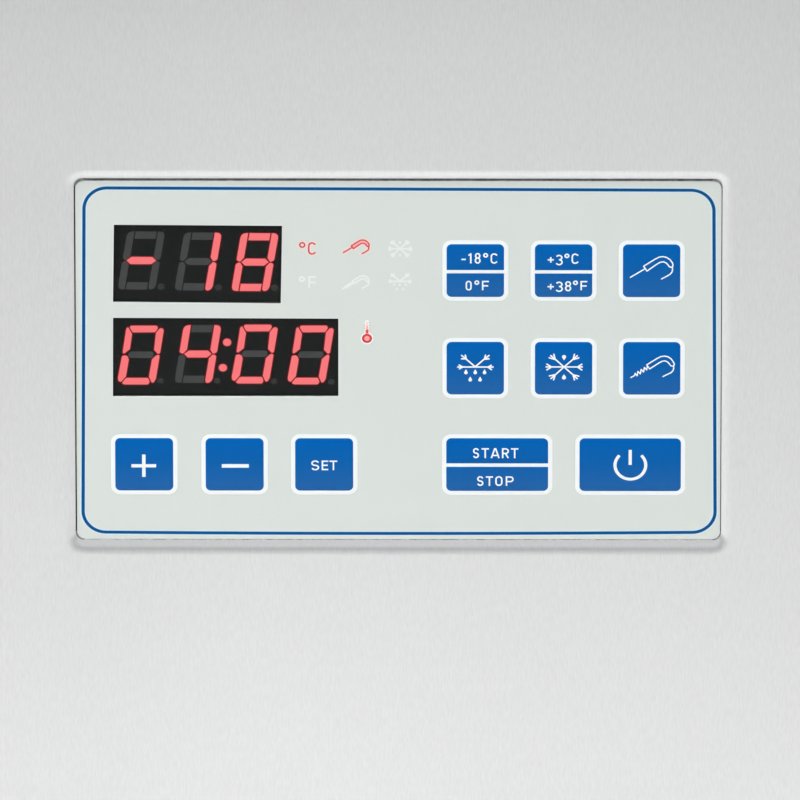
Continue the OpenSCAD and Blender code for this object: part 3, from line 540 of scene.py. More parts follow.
def soften(node, mat, width, seg=2, angle=32, name=None):
    """The CAD node's own shape with its sharp edges rounded, as real sheet and mouldings are."""
    src = NODES[node]
    me = src.data.copy()
    me.name = (name or node + "_finished")
    bm = bmesh.new()
    bm.from_mesh(me)
    bmesh.ops.remove_doubles(bm, verts=bm.verts, dist=2e-6)
    bmesh.ops.dissolve_limit(bm, angle_limit=math.radians(0.4), verts=bm.verts, edges=bm.edges)
    edges = [e for e in bm.edges if len(e.link_faces) == 2 and e.calc_face_angle(0.0) > math.radians(angle)]
    bmesh.ops.bevel(bm, geom=edges, offset=width / 1000, segments=seg, profile=0.5, affect="EDGES",
                    clamp_overlap=True)
    for f in bm.faces:
        f.smooth = True
        f.material_index = 0
    bm.to_mesh(me)
    bm.free()
    me.materials.clear()
    me.materials.append(mat)
    me.set_sharp_from_angle(angle=math.radians(30))
    ob = bpy.data.objects.new(me.name, me)
    scene.collection.objects.link(ob)
    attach(ob, src["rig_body"])
    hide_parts(node)
    return ob


def dress(node, mat):
    for s in NODES[node].material_slots:
        s.material = mat


# ---------------------------------------------------------------- lettering and symbols
def glyph(ch, x0, x1, z0, z1, s):
    """Strokes of one character between x0 and x1, z0 and z1, with line width s."""
    W, H = x1 - x0, z1 - z0
    h = s / 2
    L = []
    if ch == "T":
        L = [[(0, H - h), (W, H - h)], [(W / 2, H - h), (W / 2, 0)]]
    elif ch == "E":
        L = [[(h, 0), (h, H)], [(h, H - h), (W, H - h)], [(h, H * 0.51), (W * 0.93, H * 0.51)], [(h, h), (W, h)]]
    elif ch == "F":
        L = [[(h, 0), (h, H)], [(h, H - h), (W, H - h)], [(h, H * 0.46), (W * 0.90, H * 0.46)]]
    elif ch == "A":
        L = [[(h * 0.95, 0), (W / 2 - h * 0.35, H)], [(W - h * 0.95, 0), (W / 2 + h * 0.35, H)],
             [(W * 0.2, H * 0.27), (W * 0.8, H * 0.27)]]
    elif ch in "RP":
        m = H * (0.45 if ch == "P" else 0.47)
        r = (H - h - m) / 2
        L = [[(h, 0), (h, H)],
             [(h, H - h), (W - h - r, H - h)] + arc(W - h - r, m + r, r, r, 80, -80) + [(W - h - r, m), (h, m)]]
        if ch == "R":
            L.append([(W * 0.50, m), (W - h * 0.9, 0)])
    elif ch in "O0":
        r = W / 2 - h
        L = [arc(W / 2, H - h - r, r, r, 0, 180) + arc(W / 2, h + r, r, r, 180, 360)]
        return [q for q in stroke([(x0 + a, z0 + b) for a, b in L[0]], s, closed=True)]
    elif ch == "S":
        ry = (H - s) / 4
        rx = W / 2 - h
        L = [arc(W / 2, H - h - ry, rx, ry, 18, 270, 22) + arc(W / 2, h + ry, rx, ry, 90, -162, 22)[1:]]
    elif ch == "C":
        r = W / 2 - h * 0.9
        L = [[(W - h * 0.4, H - h - r * 0.52)] + arc(h + r, H - h - r, r, r, 40, 180) + arc(h + r, h + r, r, r, 180, 320)
             + [(W - h * 0.4, h + r * 0.52)]]
    elif ch == "8":
        ru, rl = (H - s) * 0.235, (H - s) * 0.265
        a = arc(W / 2, H - h - ru, W / 2 - h * 1.25, ru, 0, 360, 24)[:-1]
        b = arc(W / 2, h + rl, W / 2 - h, rl, 0, 360, 24)[:-1]
        return [q for l in (a, b) for q in stroke([(x0 + p, z0 + c) for p, c in l], s, closed=True)]
    elif ch == "3":
        ru, rl = (H - s) * 0.235, (H - s) * 0.265
        L = [arc(W / 2 - h * 0.3, H - h - ru, W / 2 - h * 0.9, ru, 150, -90, 20),
             arc(W / 2 - h * 0.3, h + rl, W / 2 - h * 0.6, rl, 90, -155, 20)]
    elif ch == "1":
        L = [[(0.0, H * 0.76), (W - h, H - h * 0.6)], [(W - h, H), (W - h, 0)]]
    elif ch == "+":
        L = [[(0, H / 2), (W, H / 2)], [(W / 2, 0), (W / 2, H)]]
    elif ch == "-":
        L = [[(0, H / 2), (W, H / 2)]]
    elif ch == "o":
        return stroke([(x0 + a, z0 + b) for a, b in disc(W / 2, H / 2, W / 2 - h, 20)], s, closed=True)
    return [q for l in L for q in stroke([(x0 + a, z0 + b) for a, b in l], s)]


def line_of(text, s, spec, conv):
    """spec: for each character (left, right, top, bottom) in frame points; conv turns a point into mm."""
    out = []
    for ch, (a, b, t, u) in zip(text, spec):
        (x0, z1), (x1, z0) = conv(a, t), conv(b, u)
        out += glyph(ch, x0 + 0.05, x1 - 0.05, z0 + 0.05, z1 - 0.05, s)
    return out


def drop(cx, cz, r, tip, n=16):
    """A drop: a circle of radius r about (cx, cz), drawn out to a point at height tip above its centre (below if negative)."""
    s = 1 if tip > 0 else -1
    a0 = math.asin(min(0.9, r / abs(tip))) if abs(tip) > r else 1.0
    pts = [(cx, cz + tip)]
    for i in range(n + 1):
        a = math.pi / 2 - (math.pi / 2 - a0) - (2 * math.pi - 2 * (math.pi / 2 - (math.pi / 2 - a0))) * i / n
        a = a0 + (math.pi - 0 * a0) * 0
    pts = [(cx, cz + tip)]
    th = math.acos(min(0.98, r / abs(tip)))
    for i in range(n + 1):
        t = math.pi / 2 - th - (2 * math.pi - 2 * th) * i / n
        pts.append((cx + r * math.cos(t), cz + s * r * math.sin(t)))
    return pts


def near(cu, cv):
    """Frame points to mm about a key's centre that sits at frame point (cu, cv)."""
    return lambda u, v: ((u - cu) * 0.2225, (cv - v) * 0.244)


def crop(ox, oy, k, f):
    return lambda X, Y: f(ox + X / k, oy + Y / k)


def probe(f, w, heated=False, base=None):
    """A core probe: needle, grip and lead. f turns frame points to mm."""
    out = []
    if not heated:
        needle = [(630.4, 277.3), (645.2, 268.6)]
        grip_l = [(643.6, 266.2), (655.4, 258.9), (659.3, 257.0), (663.2, 256.6), (666.8, 257.5), (670.2, 259.9),
                  (672.2, 262.6), (672.9, 264.8), (672.5, 266.5), (670.9, 267.3), (669.3, 266.7), (667.9, 264.8),
                  (666.2, 263.0), (663.6, 261.8), (660.6, 262.1), (657.6, 263.6), (646.9, 271.0)]
        lead = [(672.2, 266.8), (672.5, 269.4), (672.0, 271.8), (670.3, 274.0), (667.8, 275.6), (661.5, 278.9)]
        off = (0, 0)
    else:
        needle = [(631.1, 376.9), (634.8, 374.9), (635.3, 372.8), (637.3, 375.2), (638.1, 370.9), (640.5, 373.3),
                  (641.3, 368.8), (643.7, 371.4), (644.5, 366.9), (646.8, 369.3), (647.4, 365.8), (648.9, 366.9)]
        grip_l = [(646.9, 364.2), (657.4, 357.7), (661.0, 355.9), (664.8, 355.4), (668.3, 356.2), (671.4, 358.4),
                  (673.5, 361.4), (674.4, 363.2), (674.0, 364.9), (672.3, 365.6), (670.8, 365.0), (669.4, 363.1),
                  (667.6, 361.2), (665.0, 360.2), (662.3, 360.6), (659.4, 362.1), (649.8, 368.3)]
        lead = [(673.7, 365.8), (673.8, 368.0), (672.9, 370.5), (670.7, 372.3), (668.0, 373.5), (663.2, 375.9)]
    g = [f(*p) for p in grip_l]
    out += stroke([f(*p) for p in needle], w, cap="round")
    out += stroke(g, w, closed=True)
    out += stroke([f(*p) for p in lead], w, cap="round")
    return out, g


def flake(f, w, wet):
    """Snow crystal with feathered ends; wet keeps its upper half over falling drops."""
    out = []

    def q(X, Y):
        return f(X, Y)

    if wet:
        lines = [[(296, 620), (1250, 620)], [(335, 565), (420, 618)], [(345, 668), (420, 622)],
                 [(1200, 572), (1115, 618)], [(1205, 688), (1115, 624)],
                 [(768, 612), (510, 395), (402, 308)], [(500, 300), (520, 392)], [(402, 398), (505, 398)],
                 [(768, 612), (1020, 400), (1140, 308)], [(1045, 300), (1022, 392)], [(1138, 396), (1030, 410)]]
        for cx, cz in ((518, 772), (768, 772), (1020, 772), (634, 968), (899, 968)):
            a, b = q(cx, cz), q(cx, cz - 92)
            out.append(drop(a[0], a[1], abs(q(cx + 50, cz)[0] - a[0]), b[1] - a[1]))
    else:
        lines = [[(780, 640), (430, 640)], [(780, 640), (1150, 640)],
                 [(300, 562), (415, 632)], [(283, 640), (440, 640)], [(303, 722), (415, 650)],
                 [(1278, 565), (1170, 632)], [(1290, 640), (1150, 640)], [(1278, 724), (1170, 650)],
                 [(780, 640), (530, 420)], [(495, 285), (532, 425)], [(410, 322), (525, 418)], [(368, 385), (515, 428)],
                 [(780, 640), (1040, 420)], [(1072, 285), (1038, 420)], [(1150, 325), (1045, 418)],
                 [(1192, 385), (1060, 428)],
                 [(780, 640), (530, 865)], [(375, 892), (520, 858)], [(415, 965), (525, 872)], [(490, 1000), (532, 865)],
                 [(780, 640), (1040, 865)], [(1195, 900), (1050, 862)], [(1150, 968), (1045, 872)],
                 [(1072, 1000), (1036, 865)]]
        for cz, tip in ((357, 96), (938, -92)):
            a, b = q(780, cz), q(780, cz + tip)
            out.append(drop(a[0], a[1], abs(q(780 + 58, cz)[0] - a[0]), b[1] - a[1]))
    for l in lines:
        out += stroke([q(*p) for p in l], w, cap="round")
    return out


# ---------------------------------------------------------------- front fascia
def front_fascia():
    b = Build()
    wx, z0, z1, cy, t = 373.8, 62.0, 326.0, -273.2, 1.2
    hw, hh, zc = wx, (z1 - z0) / 2, (z0 + z1) / 2
    fold, n = 2.2, 6
    # the shoulder of the pressed pocket: flat where it leaves the sheet, steepest at the floor's edge
    gx, gz, ox0, oz0, deep = 71.96, 44.15, -0.14, 0.20, 0.9
    sx, sz, steps = 2.6, 3.05, 18

    def shoulder(wide, last):
        """Distance out from the floor's edge for depths 0 to deep, of a sheet whose slope runs 0, 12 and last degrees."""
        pts_, d, k = [(0.0, 0.0)], 0.0, wide / 240
        for i in range(240):
            q = (i + 0.5) / 240
            ang = 12 * q / 0.37 if q < 0.37 else 12 + (last - 12) * (q - 0.37) / 0.63
            d += math.tan(math.radians(ang)) * k
            pts_.append(((i + 1) * k, d))
        out_ = []
        for i in range(steps + 1):
            want = pts_[-1][1] * (i / steps) ** 1.8
            j = next(n_ for n_, p_ in enumerate(pts_) if p_[1] >= want - 1e-9)
            out_.append((wide - pts_[j][0], deep * (i / steps) ** 1.8))
        return out_

    ex, ez = shoulder(sx, 37), shoulder(sz, 31)

    def pocket(i, d=None, off=0.0):
        o1, o2 = ex[i][0] - off, ez[i][0] - off
        # the lower side runs out a little wider than the upper one
        return [(x, FY + (ex[i][1] if d is None else d), z + PZ0)
                for x, z in rr(gx + o1, gz + o2, 1.9 + (o1 + o2) / 2, 14, ox0, oz0 - 0.45 * ez[i][0] / sz)]

    outer2 = rr(hw - fold, hh - fold, 1.2, n, 0, zc)
    hole2 = [(p[0], p[2]) for p in pocket(0)]
    slots = [rr(110, 2.5, 2.4, 5, s * 235, z) for s in (-1, 1) for z in range(92, 302, 14) if z <= 296]
    pts, tris, ink = cdt(outer2, [hole2] + slots, [])
    b.plate(pts, tris, ink, FY)
    # folded edges, front to back
    loops = []
    for i in range(n + 1):
        a = math.pi / 2 * i / n
        loops.append([(x, FY + fold * (1 - math.cos(a)), z) for x, z in
                      rr(hw - fold + fold * math.sin(a), hh - fold + fold * math.sin(a), 1.2 + fold * math.sin(a), n, 0, zc)])
    loops.append([(x, cy, z) for x, z in rr(hw, hh, 1.2 + fold, n, 0, zc)])
    loops.append([(x, cy, z) for x, z in rr(hw - t, hh - t, 0.2 + fold, n, 0, zc)])
    loops.append([(x, FY + t, z) for x, z in rr(hw - t, hh - t, 0.2 + fold, n, 0, zc)])
    b.loft(loops, cap0=False, cap1=False)
    back_hole = [(p[0], p[2]) for p in pocket(0, 0.0, -0.1)]
    back_outer = rr(hw - t, hh - t, 0.2 + fold, n, 0, zc)
    pts2, tris2, ink2 = cdt(back_outer, [back_hole] + slots, [])
    b.plate(pts2, tris2, ink2, FY + t, flip=True)
    for s in slots:
        b.loft([[(x, FY, z) for x, z in s], [(x, FY + t, z) for x, z in s]], cap0=False, cap1=False, smooth=False)
    # the pocket, the ring under the label's edge (painted shade at the top, left, right and corners, painted light at
    # the bottom), and the window
    ids = [b.add(pocket(i)) for i in range(steps + 1)]
    for a, c in zip(ids, ids[1:]):
        b.bridge(a, c)
    ring = b.add(pocket(steps, 1.302, 0.01))
    under = b.add([(x, FY + 1.302, z + PZ0) for x, z in rr(70.6, 42.7, 1.6, 14)])
    # each side of the ring gets its own painted shade (painted light at the bottom), the corners another
    shade = {0: 3, 1: 1, 2: 2, 3: 5}
    for lower, upper in ((ids[-1], ring), (ring, under)):
        for i in range(60):
            j = (i + 1) % 60
            b.face((lower[i], lower[j], upper[j], upper[i]), shade[i // 15] if i % 15 == 14 else 4)
    win = [(x, FY + 1.302, z + PZ0) for x, z in rr(66, 38.5, 1.0, 14)]
    winb = [(x, FY + 2.5, z + PZ0) for x, z in rr(66, 38.5, 1.0, 14)]
    bk = [(x, FY + 2.5, z + PZ0) for x, z in rr(73.2, 45.3, 3.4, 14)]
    w1, w2, w3 = b.add(win), b.add(winb), b.add(bk)
    w4 = b.add([(x, FY + t, z) for x, z in back_hole])
    b.bridge(under, w1, smooth=False)
    b.bridge(w1, w2, smooth=False)
    b.bridge(w2, w3, smooth=False)
    b.bridge(w3, w4, smooth=False)
    ob = b.out("fascia_sheet", [steel_v, edge_shade_top, edge_shade_left, edge_shade_right, edge_shade_corner, edge_light_bottom], replaces=["front_fascia"], slot="stainless")
    # one louvre blade behind each slot, leaning in and down from its upper edge
    lv = Build()
    for s in (-1, 1):
        for z in range(92, 302, 14):
            if z > 296:
                continue
            cx = s * 235
            prof_l = [(FY + t, z + 3.4), (FY + 2.2, z + 3.3), (FY + 3.2, z + 2.6), (FY + 8.6, z - 4.0), (FY + 9.2, z - 4.4)]
            up = [(y, zz) for y, zz in prof_l]
            dn = [(y - 0.55, zz - 0.65) if i > 1 else (y, zz - 0.9) for i, (y, zz) in enumerate(prof_l)]
            ring = up + dn[::-1]
            lv.loft([[(cx - 109, y, zz) for y, zz in ring], [(cx + 109, y, zz) for y, zz in ring]], smooth=False)
    lv.out("fascia_louvre_blades", [steel_v], slot="stainless")
    return ob


# ---------------------------------------------------------------- keys
KEYS = {
    "key_freeze_preset": (17.0, 22.0, 12.76, 12.84, (475.4, 270.5)),
    "key_chill_preset": (36.6, 22.0, 12.76, 12.84, (563.07, 270.55)),
    "key_probe": (56.15, 22.0, 12.76, 12.84, (651.58, 270.85)),
    "key_defrost": (17.0, -1.8, 12.76, 12.84, (475.45, 368.2)),
    "key_snowflake": (36.65, -1.8, 12.76, 12.84, (563.45, 368.3)),
    "key_heated_probe": (56.25, -1.8, 12.76, 12.84, (651.85, 367.85)),
    "key_plus": (-56.75, -25.4, 12.93, 12.84, (143.9, 464.0)),
    "key_minus": (-36.6, -25.4, 12.93, 12.84, (234.6, 464.1)),
    "key_set": (-16.65, -25.4, 12.93, 12.84, (324.0, 464.45)),
    "key_start_stop": (21.9, -25.4, 22.7, 12.92, (497.5, 464.7)),
    "key_power": (51.53, -25.4, 22.6, 12.92, (630.6, 464.55)),
}
RIM = 0.98


def key_art(name):
    """White ink inside the blue field, about the key's centre."""
    x, z, w, _, (cu, cv) = KEYS[name]
    f = near(cu, cv)
    art = []

    def bar(u0, u1, v0, v1):
        (a, d), (c, e) = f(u0, v0), f(u1, v1)
        art.append([(a, e), (c, e), (c, d), (a, d)])

    if name == "key_freeze_preset":
        k = crop(440, 235, 6.272, f)
        bar(430, 520, 269.95, 273.2)
        art.extend(line_of("-18oC", 0.345, [(134, 164, 146, 158), (178, 200, 112, 178), (216, 257, 110, 180),
                                            (269, 304, 109, 144), (316, 362, 112, 180)], k))
        art.extend(line_of("0oF", 0.345, [(160, 201, 284, 348), (214, 249, 280, 314), (262, 308, 284, 346)], k))
    elif name == "key_chill_preset":
        k = crop(440, 235, 6.272, f)
        bar(520, 610, 270.1, 273.35)
        art.extend(line_of("+3oC", 0.345, [(671, 712, 136, 173), (722, 768, 121, 190), (775, 810, 112, 147),
                                           (820, 867, 113, 181)], k))
        art.extend(line_of("+38oF", 0.345, [(670, 713, 304, 341), (722, 769, 289, 357), (779, 822, 286, 353),
                                            (829, 864, 281, 315), (876, 922, 285, 346)], k))
    elif name == "key_probe":
        art.extend(probe(f, 0.30)[0])
    elif name == "key_heated_probe":
        art.extend(probe(f, 0.29, True)[0])
    elif name == "key_defrost":
        art.extend(flake(crop(447, 344, 27.03, f), 0.345, True))
    elif name == "key_snowflake":
        art.extend(flake(crop(536, 344, 28.0, f), 0.335, False))
    elif name == "key_plus":
        bar(141.75, 145.25, 454.0, 476.5)
        bar(131.1, 155.8, 463.75, 467.0)
    elif name == "key_minus":
        bar(221.7, 248.8, 463.7, 467.3)
    elif name == "key_set":
        k = crop(105, 430, 6.03, f)
        art.extend(line_of("SET", 0.34, [(1241, 1292, 181, 244), (1304, 1347, 182, 243), (1352, 1401, 182, 243)], k))
    elif name == "key_start_stop":
        k = crop(440, 430, 6.272, f)
        bar(430, 560, 463.45, 466.95)
        art.extend(line_of("START", 0.35, [(207, 248, 111, 178), (261, 310, 112, 177), (318, 378, 112, 177),
                                            (389, 436, 112, 177), (446, 495, 112, 177)], k))
        art.extend(line_of("STOP", 0.35, [(233, 276, 288, 353), (288, 336, 289, 352), (347, 396, 288, 353),
                                           (413, 466, 289, 352)], k))
    elif name == "key_power":
        c = f(630.8, 464.9)
        art.extend(stroke(arc(c[0], c[1], 3.42, 3.42, 90 + 46, 450 - 46, 60), 0.70))
        bar(629.0, 632.2, 449.5, 464.5)
    return art


def key(name):
    x, z, w, h, _ = KEYS[name]
    hw, hh = w / 2 + RIM + 0.09, h / 2 + RIM + 0.09
    outline = rr(hw, hh, 1.85, 8)
    rim = rr(hw - 0.11, hh - 0.11, 2.1, 10)
    field = rr(w / 2, h / 2, 1.15, 8)
    art = [[p for p in q] for q in key_art(name)]
    # white ink that runs over the field's edge only joins the rim
    grid = []
    nx, nz = int(2 * hw / 1.1), int(2 * hh / 1.1)
    for i in range(1, nx):
        for j in range(1, nz):
            gx, gz = -hw + 2 * hw * i / nx, -hh + 2 * hh * j / nz
            if abs(gx) < hw - 0.5 and abs(gz) < hh - 0.5:
                grid.append((gx, gz))
    clipped = []
    for q in art:
        clipped.append([(max(-hw + 0.4, min(hw - 0.4, a)), c) for a, c in q])
    pts, tris, ink = cdt(outline, [], [(3, [rim]), (1, [field]), (2, clipped)], grid)
    ink = [{0: 2, 1: 1, 2: 0, 3: 0}[k] for k in ink]
    rise = 0.10

    def dome(px, pz):
        ex, ez = min(1.0, abs(px) / (hw - 0.2)), min(1.0, abs(pz) / (hh - 0.2))
        return YL - rise * (1 - ex ** 4) * (1 - ez ** 4)

    b = Build()
    ids = b.add([(px + x, dome(px, pz), pz + z + PZ0) for px, pz in pts])
    for t, k in zip(tris, ink):
        b.face([ids[i] for i in t], k, True)
    b.loft([[(px + x, YL, pz + z + PZ0) for px, pz in outline], [(px + x, YL + 0.4, pz + z + PZ0) for px, pz in outline]],
           cap0=False, cap1=False, smooth=False)
    b.face(b.add([(px + x, YL + 0.4, pz + z + PZ0) for px, pz in outline]), 2)
    b.lathe([(1.75, YL + 0.4), (1.75, FY + 6.2), (1.45, FY + 6.5)], (x, 0, z + PZ0), "Y", 20)
    ob = b.out(name + "_cap", [white, key_blue, label], body=name, replaces=[name], slot="key_blue", sharp=25)
    me = ob.data
    # the height that drives the key's painted shade
    at = me.attributes.new("key_height", "FLOAT", "POINT")
    at.data.foreach_set("value", [min(1.0, max(0.0, (v.co.z * 1000 - PZ0 - z + h / 2) / h)) for v in me.vertices])
    return ob


# ---------------------------------------------------------------- label
def label_plate():
    outline = rr(71.69, 43.7, 1.9, 10, -0.085)
    holes = [rr(w / 2 + RIM + 0.1, h / 2 + RIM + 0.1, 1.85, 8, x, z) for x, z, w, h, _ in KEYS.values()]
    win1 = [P(114.7, 225.5), P(113.8, 301.55), P(279.9, 303.05), P(281.3, 226.6)]
    win2 = [P(113.85, 318.55), P(113.75, 395.8), P(337.55, 395.8), P(337.5, 319.4)]
    inks = []
    corner = [P(715.15, 532.25), P(713.9, 190.35), P(84.05, 187.85), P(83.05, 531.95)]

    def band(d):
        """The line's edge at d from its middle; its lower side bows down a little."""
        return [(x, z if z > 0 else z - 0.33 * (1 - min(1.0, (x / 68) ** 2)) * (-z / 42))
                for x, z in quad_round(corner, d, 5.1 + d)]

    frame_out, frame_in, line_out, line_in = band(0.63), band(-0.63), band(0.37), band(-0.37)
    # 1 pale border, 2 blue line, 0 bare again inside
    inks += [(1, [frame_out]), (2, [line_out]), (1, [line_in]), (9, [frame_in])]

    def widen(q, d):
        cx = sum(p[0] for p in q) / 4
        cz = sum(p[1] for p in q) / 4
        return [(x + math.copysign(d, x - cx), z + math.copysign(d, z - cz)) for x, z in q]

    inks.append((3, [widen(win1, 0.28), widen(win2, 0.28)]))
    # painted shadow: a black ring just inside each window's edge, where the window's wall would shade the face
    inks.append((11, [win1, win2]))
    win1, win2 = widen(win1, -0.20), widen(win2, -0.20)
    # lit and unlit symbols over the lamps
    k = crop(292, 228, 12.25, P)
    w = 0.36
    c_lit = line_of("oC", 0.36, [(82, 168, 168, 248), (192, 296, 172, 330)], k)
    inks.append((4, line_of("oC", 0.86, [(70, 180, 156, 260), (180, 308, 160, 342)], k)))
    inks.append((5, c_lit))
    (x0, z1), (x1, z0) = k(82, 168), k(168, 248)
    # probe lamp: the same drawing as on its key, at its place on the label

    def sym(u, v, cu, cv, gu, gv):
        a = P(cu, cv)
        return lambda p, q: (a[0] + (p - gu) * 0.2225 * u, a[1] + (gv - q) * 0.244 * v)

    f = sym(0.605, 0.605, 356.6, 246.9, 652.2, 268.0)
    glow, body = probe(f, 0.80)
    core, _ = probe(f, 0.34)
    inks.append((4, glow + [body]))
    inks.append((6, [body]))
    inks.append((5, core))
    f = sym(0.605, 0.605, 355.6, 282.2, 652.2, 366.1)
    inks.append((7, probe(f, 0.40, True)[0]))
    kk = crop(292, 228, 12.25, P)
    inks.append((7, line_of("oF", 0.44, [(78, 164, 588, 664), (196, 300, 586, 738)], kk)))
    a = P(399.9, 248.7)
    inks.append((7, flake(lambda X, Y: (a[0] + (X - 780) / 28 * 0.2225 * 0.63, a[1] + (640 - Y) / 28 * 0.244 * 0.63),
                          0.40, False)))
    a2 = P(399.9, 281.4)
    inks.append((7, flake(lambda X, Y: (a2[0] + (X - 768) / 27.03 * 0.2225 * 0.63,
                                        a2[1] + (620 - Y) / 27.03 * 0.244 * 0.63), 0.40, True)))
    # thermometer
    c = P(367.0, 338.4)
    s0, s1 = P(367.1, 333.6), P(367.1, 322.0)
    inks.append((3, [disc(c[0], c[1], 1.42, 28)]))
    inks.append((3, stroke([s0, s1], 1.05, cap="round")))
    stem = [(s0[0], s0[1] + (s1[1] - s0[1]) * q) for q in (0.0, 0.34, 0.66, 1.0)]
    inks.append((6, stroke(stem[0:2], 0.80)))
    inks.append((5, stroke(stem[0:2], 0.46)))
    inks.append((6, stroke(stem[1:3], 0.48)))
    inks.append((4, stroke(stem[2:4], 0.42)))
    for q, side in ((0.93, 1), (0.70, 1), (0.70, -1), (0.47, 1), (0.47, -1), (0.24, 1)):
        zz = s0[1] + (s1[1] - s0[1]) * q
        inks.append((10, stroke([(s0[0] + side * 0.36, zz), (s0[0] + side * 0.78, zz)], 0.22)))
    inks.append((8, [disc(c[0], c[1], 1.12, 28)]))
    inks.append((12, [disc(c[0], c[1], 0.82, 24)]))
    inks.append((6, [disc(c[0], c[1], 0.55, 24)]))
    pts, tris, ink = cdt(outline, holes + [win1, win2], inks)
    ink = [{9: 0, 10: 9}.get(i, i) for i in ink]
    b = Build()
    b.plate(pts, tris, ink, YL)
    b.plate(pts, tris, [0] * len(tris), YL + 0.4, flip=True)
    # the label's outer edge takes the pale painted light of the ring's bottom side
    for l in [outline] + holes + [win1, win2]:
        b.loft([[(x, YL, z) for x, z in l], [(x, YL + 0.4, z) for x, z in l]], 10 if l is outline else 0, cap0=False,
               cap1=False, smooth=False)
    for i in range(len(b.v)):
        x, y, z = b.v[i]
        b.v[i] = (x, y, z + PZ0)
    b.out("control_label", [label, halo, blue, white, pink, red_ink, pink2, ghost, dark_red, tick, edge_light_bottom, window_shadow_ring, lamp],
          replaces=["control_overlay"], slot="label_film")
    for nm, q in (("window_film_temp", win1), ("window_film_time", win2)):
        g = Build()
        cx = sum(p[0] for p in q) / 4
        cz = sum(p[1] for p in q) / 4
        q2 = [(cx + (x - cx) * 0.9995, cz + (z - cz) * 0.9995) for x, z in q]
        g.loft([[(x, YL + 0.02, z + PZ0) for x, z in q2], [(x, YL + 0.30, z + PZ0) for x, z in q2]], smooth=False)
        g.out(nm, [film], slot="label_film")


# ---------------------------------------------------------------- digits
def seg_a(W=8.45, H=14.2, tv=1.66, th=1.84, g=0.20):
    """Segments with full-height uprights and rounded outer corners."""
    R, T = W / 2, H / 2
    up = [(R - tv, T), (R - 1.15, T), (R - 0.62, T - 0.12), (R - 0.22, T - 0.45), (R, T - 1.1), (R, 0.62),
          (R - 0.22, 0.30), (R - 0.62, g / 2), (R - 0.98, g / 2), (R - tv, th / 2 + 0.12)]
    lowr = [(R - tv, -th / 2 - 0.12), (R - 0.98, -g / 2), (R - 0.62, -g / 2), (R - 0.22, -0.30), (R, -0.62),
            (R, -T + 1.15), (R - 0.25, -T + 0.45), (R - 0.65, -T + 0.08), (R - 1.15, -T), (R - 1.5, -T + 0.22),
            (R - tv, -T + 0.6)]
    lowl = [(-R + tv, -th / 2 - 0.12), (-R + 0.98, -g / 2), (-R + 0.62, -g / 2), (-R + 0.22, -0.30), (-R, -0.62),
            (-R, -T + 1.1), (-R + 0.22, -T + 0.45), (-R + 0.62, -T + 0.1), (-R + 1.15, -T), (-R + tv, -T)]
    return {
        "a": [(-R + tv + g, T - th), (R - tv - g, T - th), (R - tv - g, T), (-R + tv + g, T)],
        "b": up,
        "c": lowr,
        "d": [(-R + tv + g, -T), (R - tv - g, -T), (R - tv - g, -T + th), (-R + tv + g, -T + th)],
        "e": lowl,
        "f": [(-x, z) for x, z in up],
        "g": [(-R + 1.12, 0), (-R + tv + 0.42, -th / 2 + 0.02), (R - tv - 0.42, -th / 2 + 0.02), (R - 1.12, 0),
              (R - tv - 0.42, th / 2 - 0.02), (-R + tv + 0.42, th / 2 - 0.02)],
    }


def seg_b():
    """Segments with rounded tips and slanting gaps, upright, about the digit's centre."""
    return {
        "a": [(-3.56, 6.72), (-3.42, 7.12), (-3.20, 7.26), (2.28, 7.28), (2.62, 7.05), (2.80, 6.68), (2.62, 6.05),
              (2.26, 5.56), (-2.56, 5.52), (-2.92, 5.78)],
        "b": [(2.46, 5.52), (3.12, 6.52), (3.46, 6.66), (3.86, 6.56), (4.20, 6.10), (4.20, 0.62), (3.98, 0.34), (3.62, 0.34),
              (2.66, 1.30)],
        "c": [(2.54, -0.94), (3.30, -0.06), (3.84, 0.18), (4.22, -0.16), (4.22, -5.74), (3.90, -6.60), (3.46, -6.78),
              (3.16, -6.44), (2.50, -5.22)],
        "d": [(-3.22, -6.66), (-2.58, -5.62), (-2.26, -5.48), (2.28, -5.48), (2.62, -5.76), (2.94, -6.52), (2.76, -7.06),
              (2.48, -7.20), (-2.60, -7.20), (-3.10, -6.98)],
        "e": [(-2.50, -1.06), (-2.92, -0.26), (-3.36, -0.02), (-3.98, -0.04), (-4.26, -0.34), (-4.36, -5.50),
              (-4.12, -6.30), (-3.58, -6.58), (-3.26, -6.36), (-2.52, -5.18)],
        "f": [(-2.72, 5.22), (-3.64, 6.54), (-3.92, 6.86), (-4.22, 6.66), (-4.30, 6.14), (-4.24, 0.88), (-4.10, 0.42),
              (-3.72, 0.40), (-2.64, 1.46)],
        "g": [(-2.98, 0.12), (-2.70, -0.54), (-2.30, -0.72), (2.24, -0.72), (2.62, -0.50), (2.86, 0.12), (2.60, 0.74),
              (2.24, 0.94), (-2.30, 0.94), (-2.66, 0.76)],
    }


LIT = {"0": "abcdef", "1": "bc", "4": "bcfg", "8": "abcdefg", "-": "g", " ": ""}


def grow(p, d):
    """A polygon pushed outwards by d at its corners."""
    n = len(p)
    area = sum(p[i][0] * p[(i + 1) % n][1] - p[(i + 1) % n][0] * p[i][1] for i in range(n))
    s = 1 if area > 0 else -1
    out = []
    for i in range(n):
        a, b, c = p[i - 1], p[i], p[(i + 1) % n]
        u = Vector((b[0] - a[0], b[1] - a[1])).normalized()
        v = Vector((c[0] - b[0], c[1] - b[1])).normalized()
        n1, n2 = Vector((u.y, -u.x)) * s, Vector((v.y, -v.x)) * s
        m = n1 + n2
        if m.length < 1e-6:
            m = n1
        m.normalize()
        k = d / max(0.45, m.dot(n1))
        out.append((b[0] + m.x * k, b[1] + m.y * k))
    return out


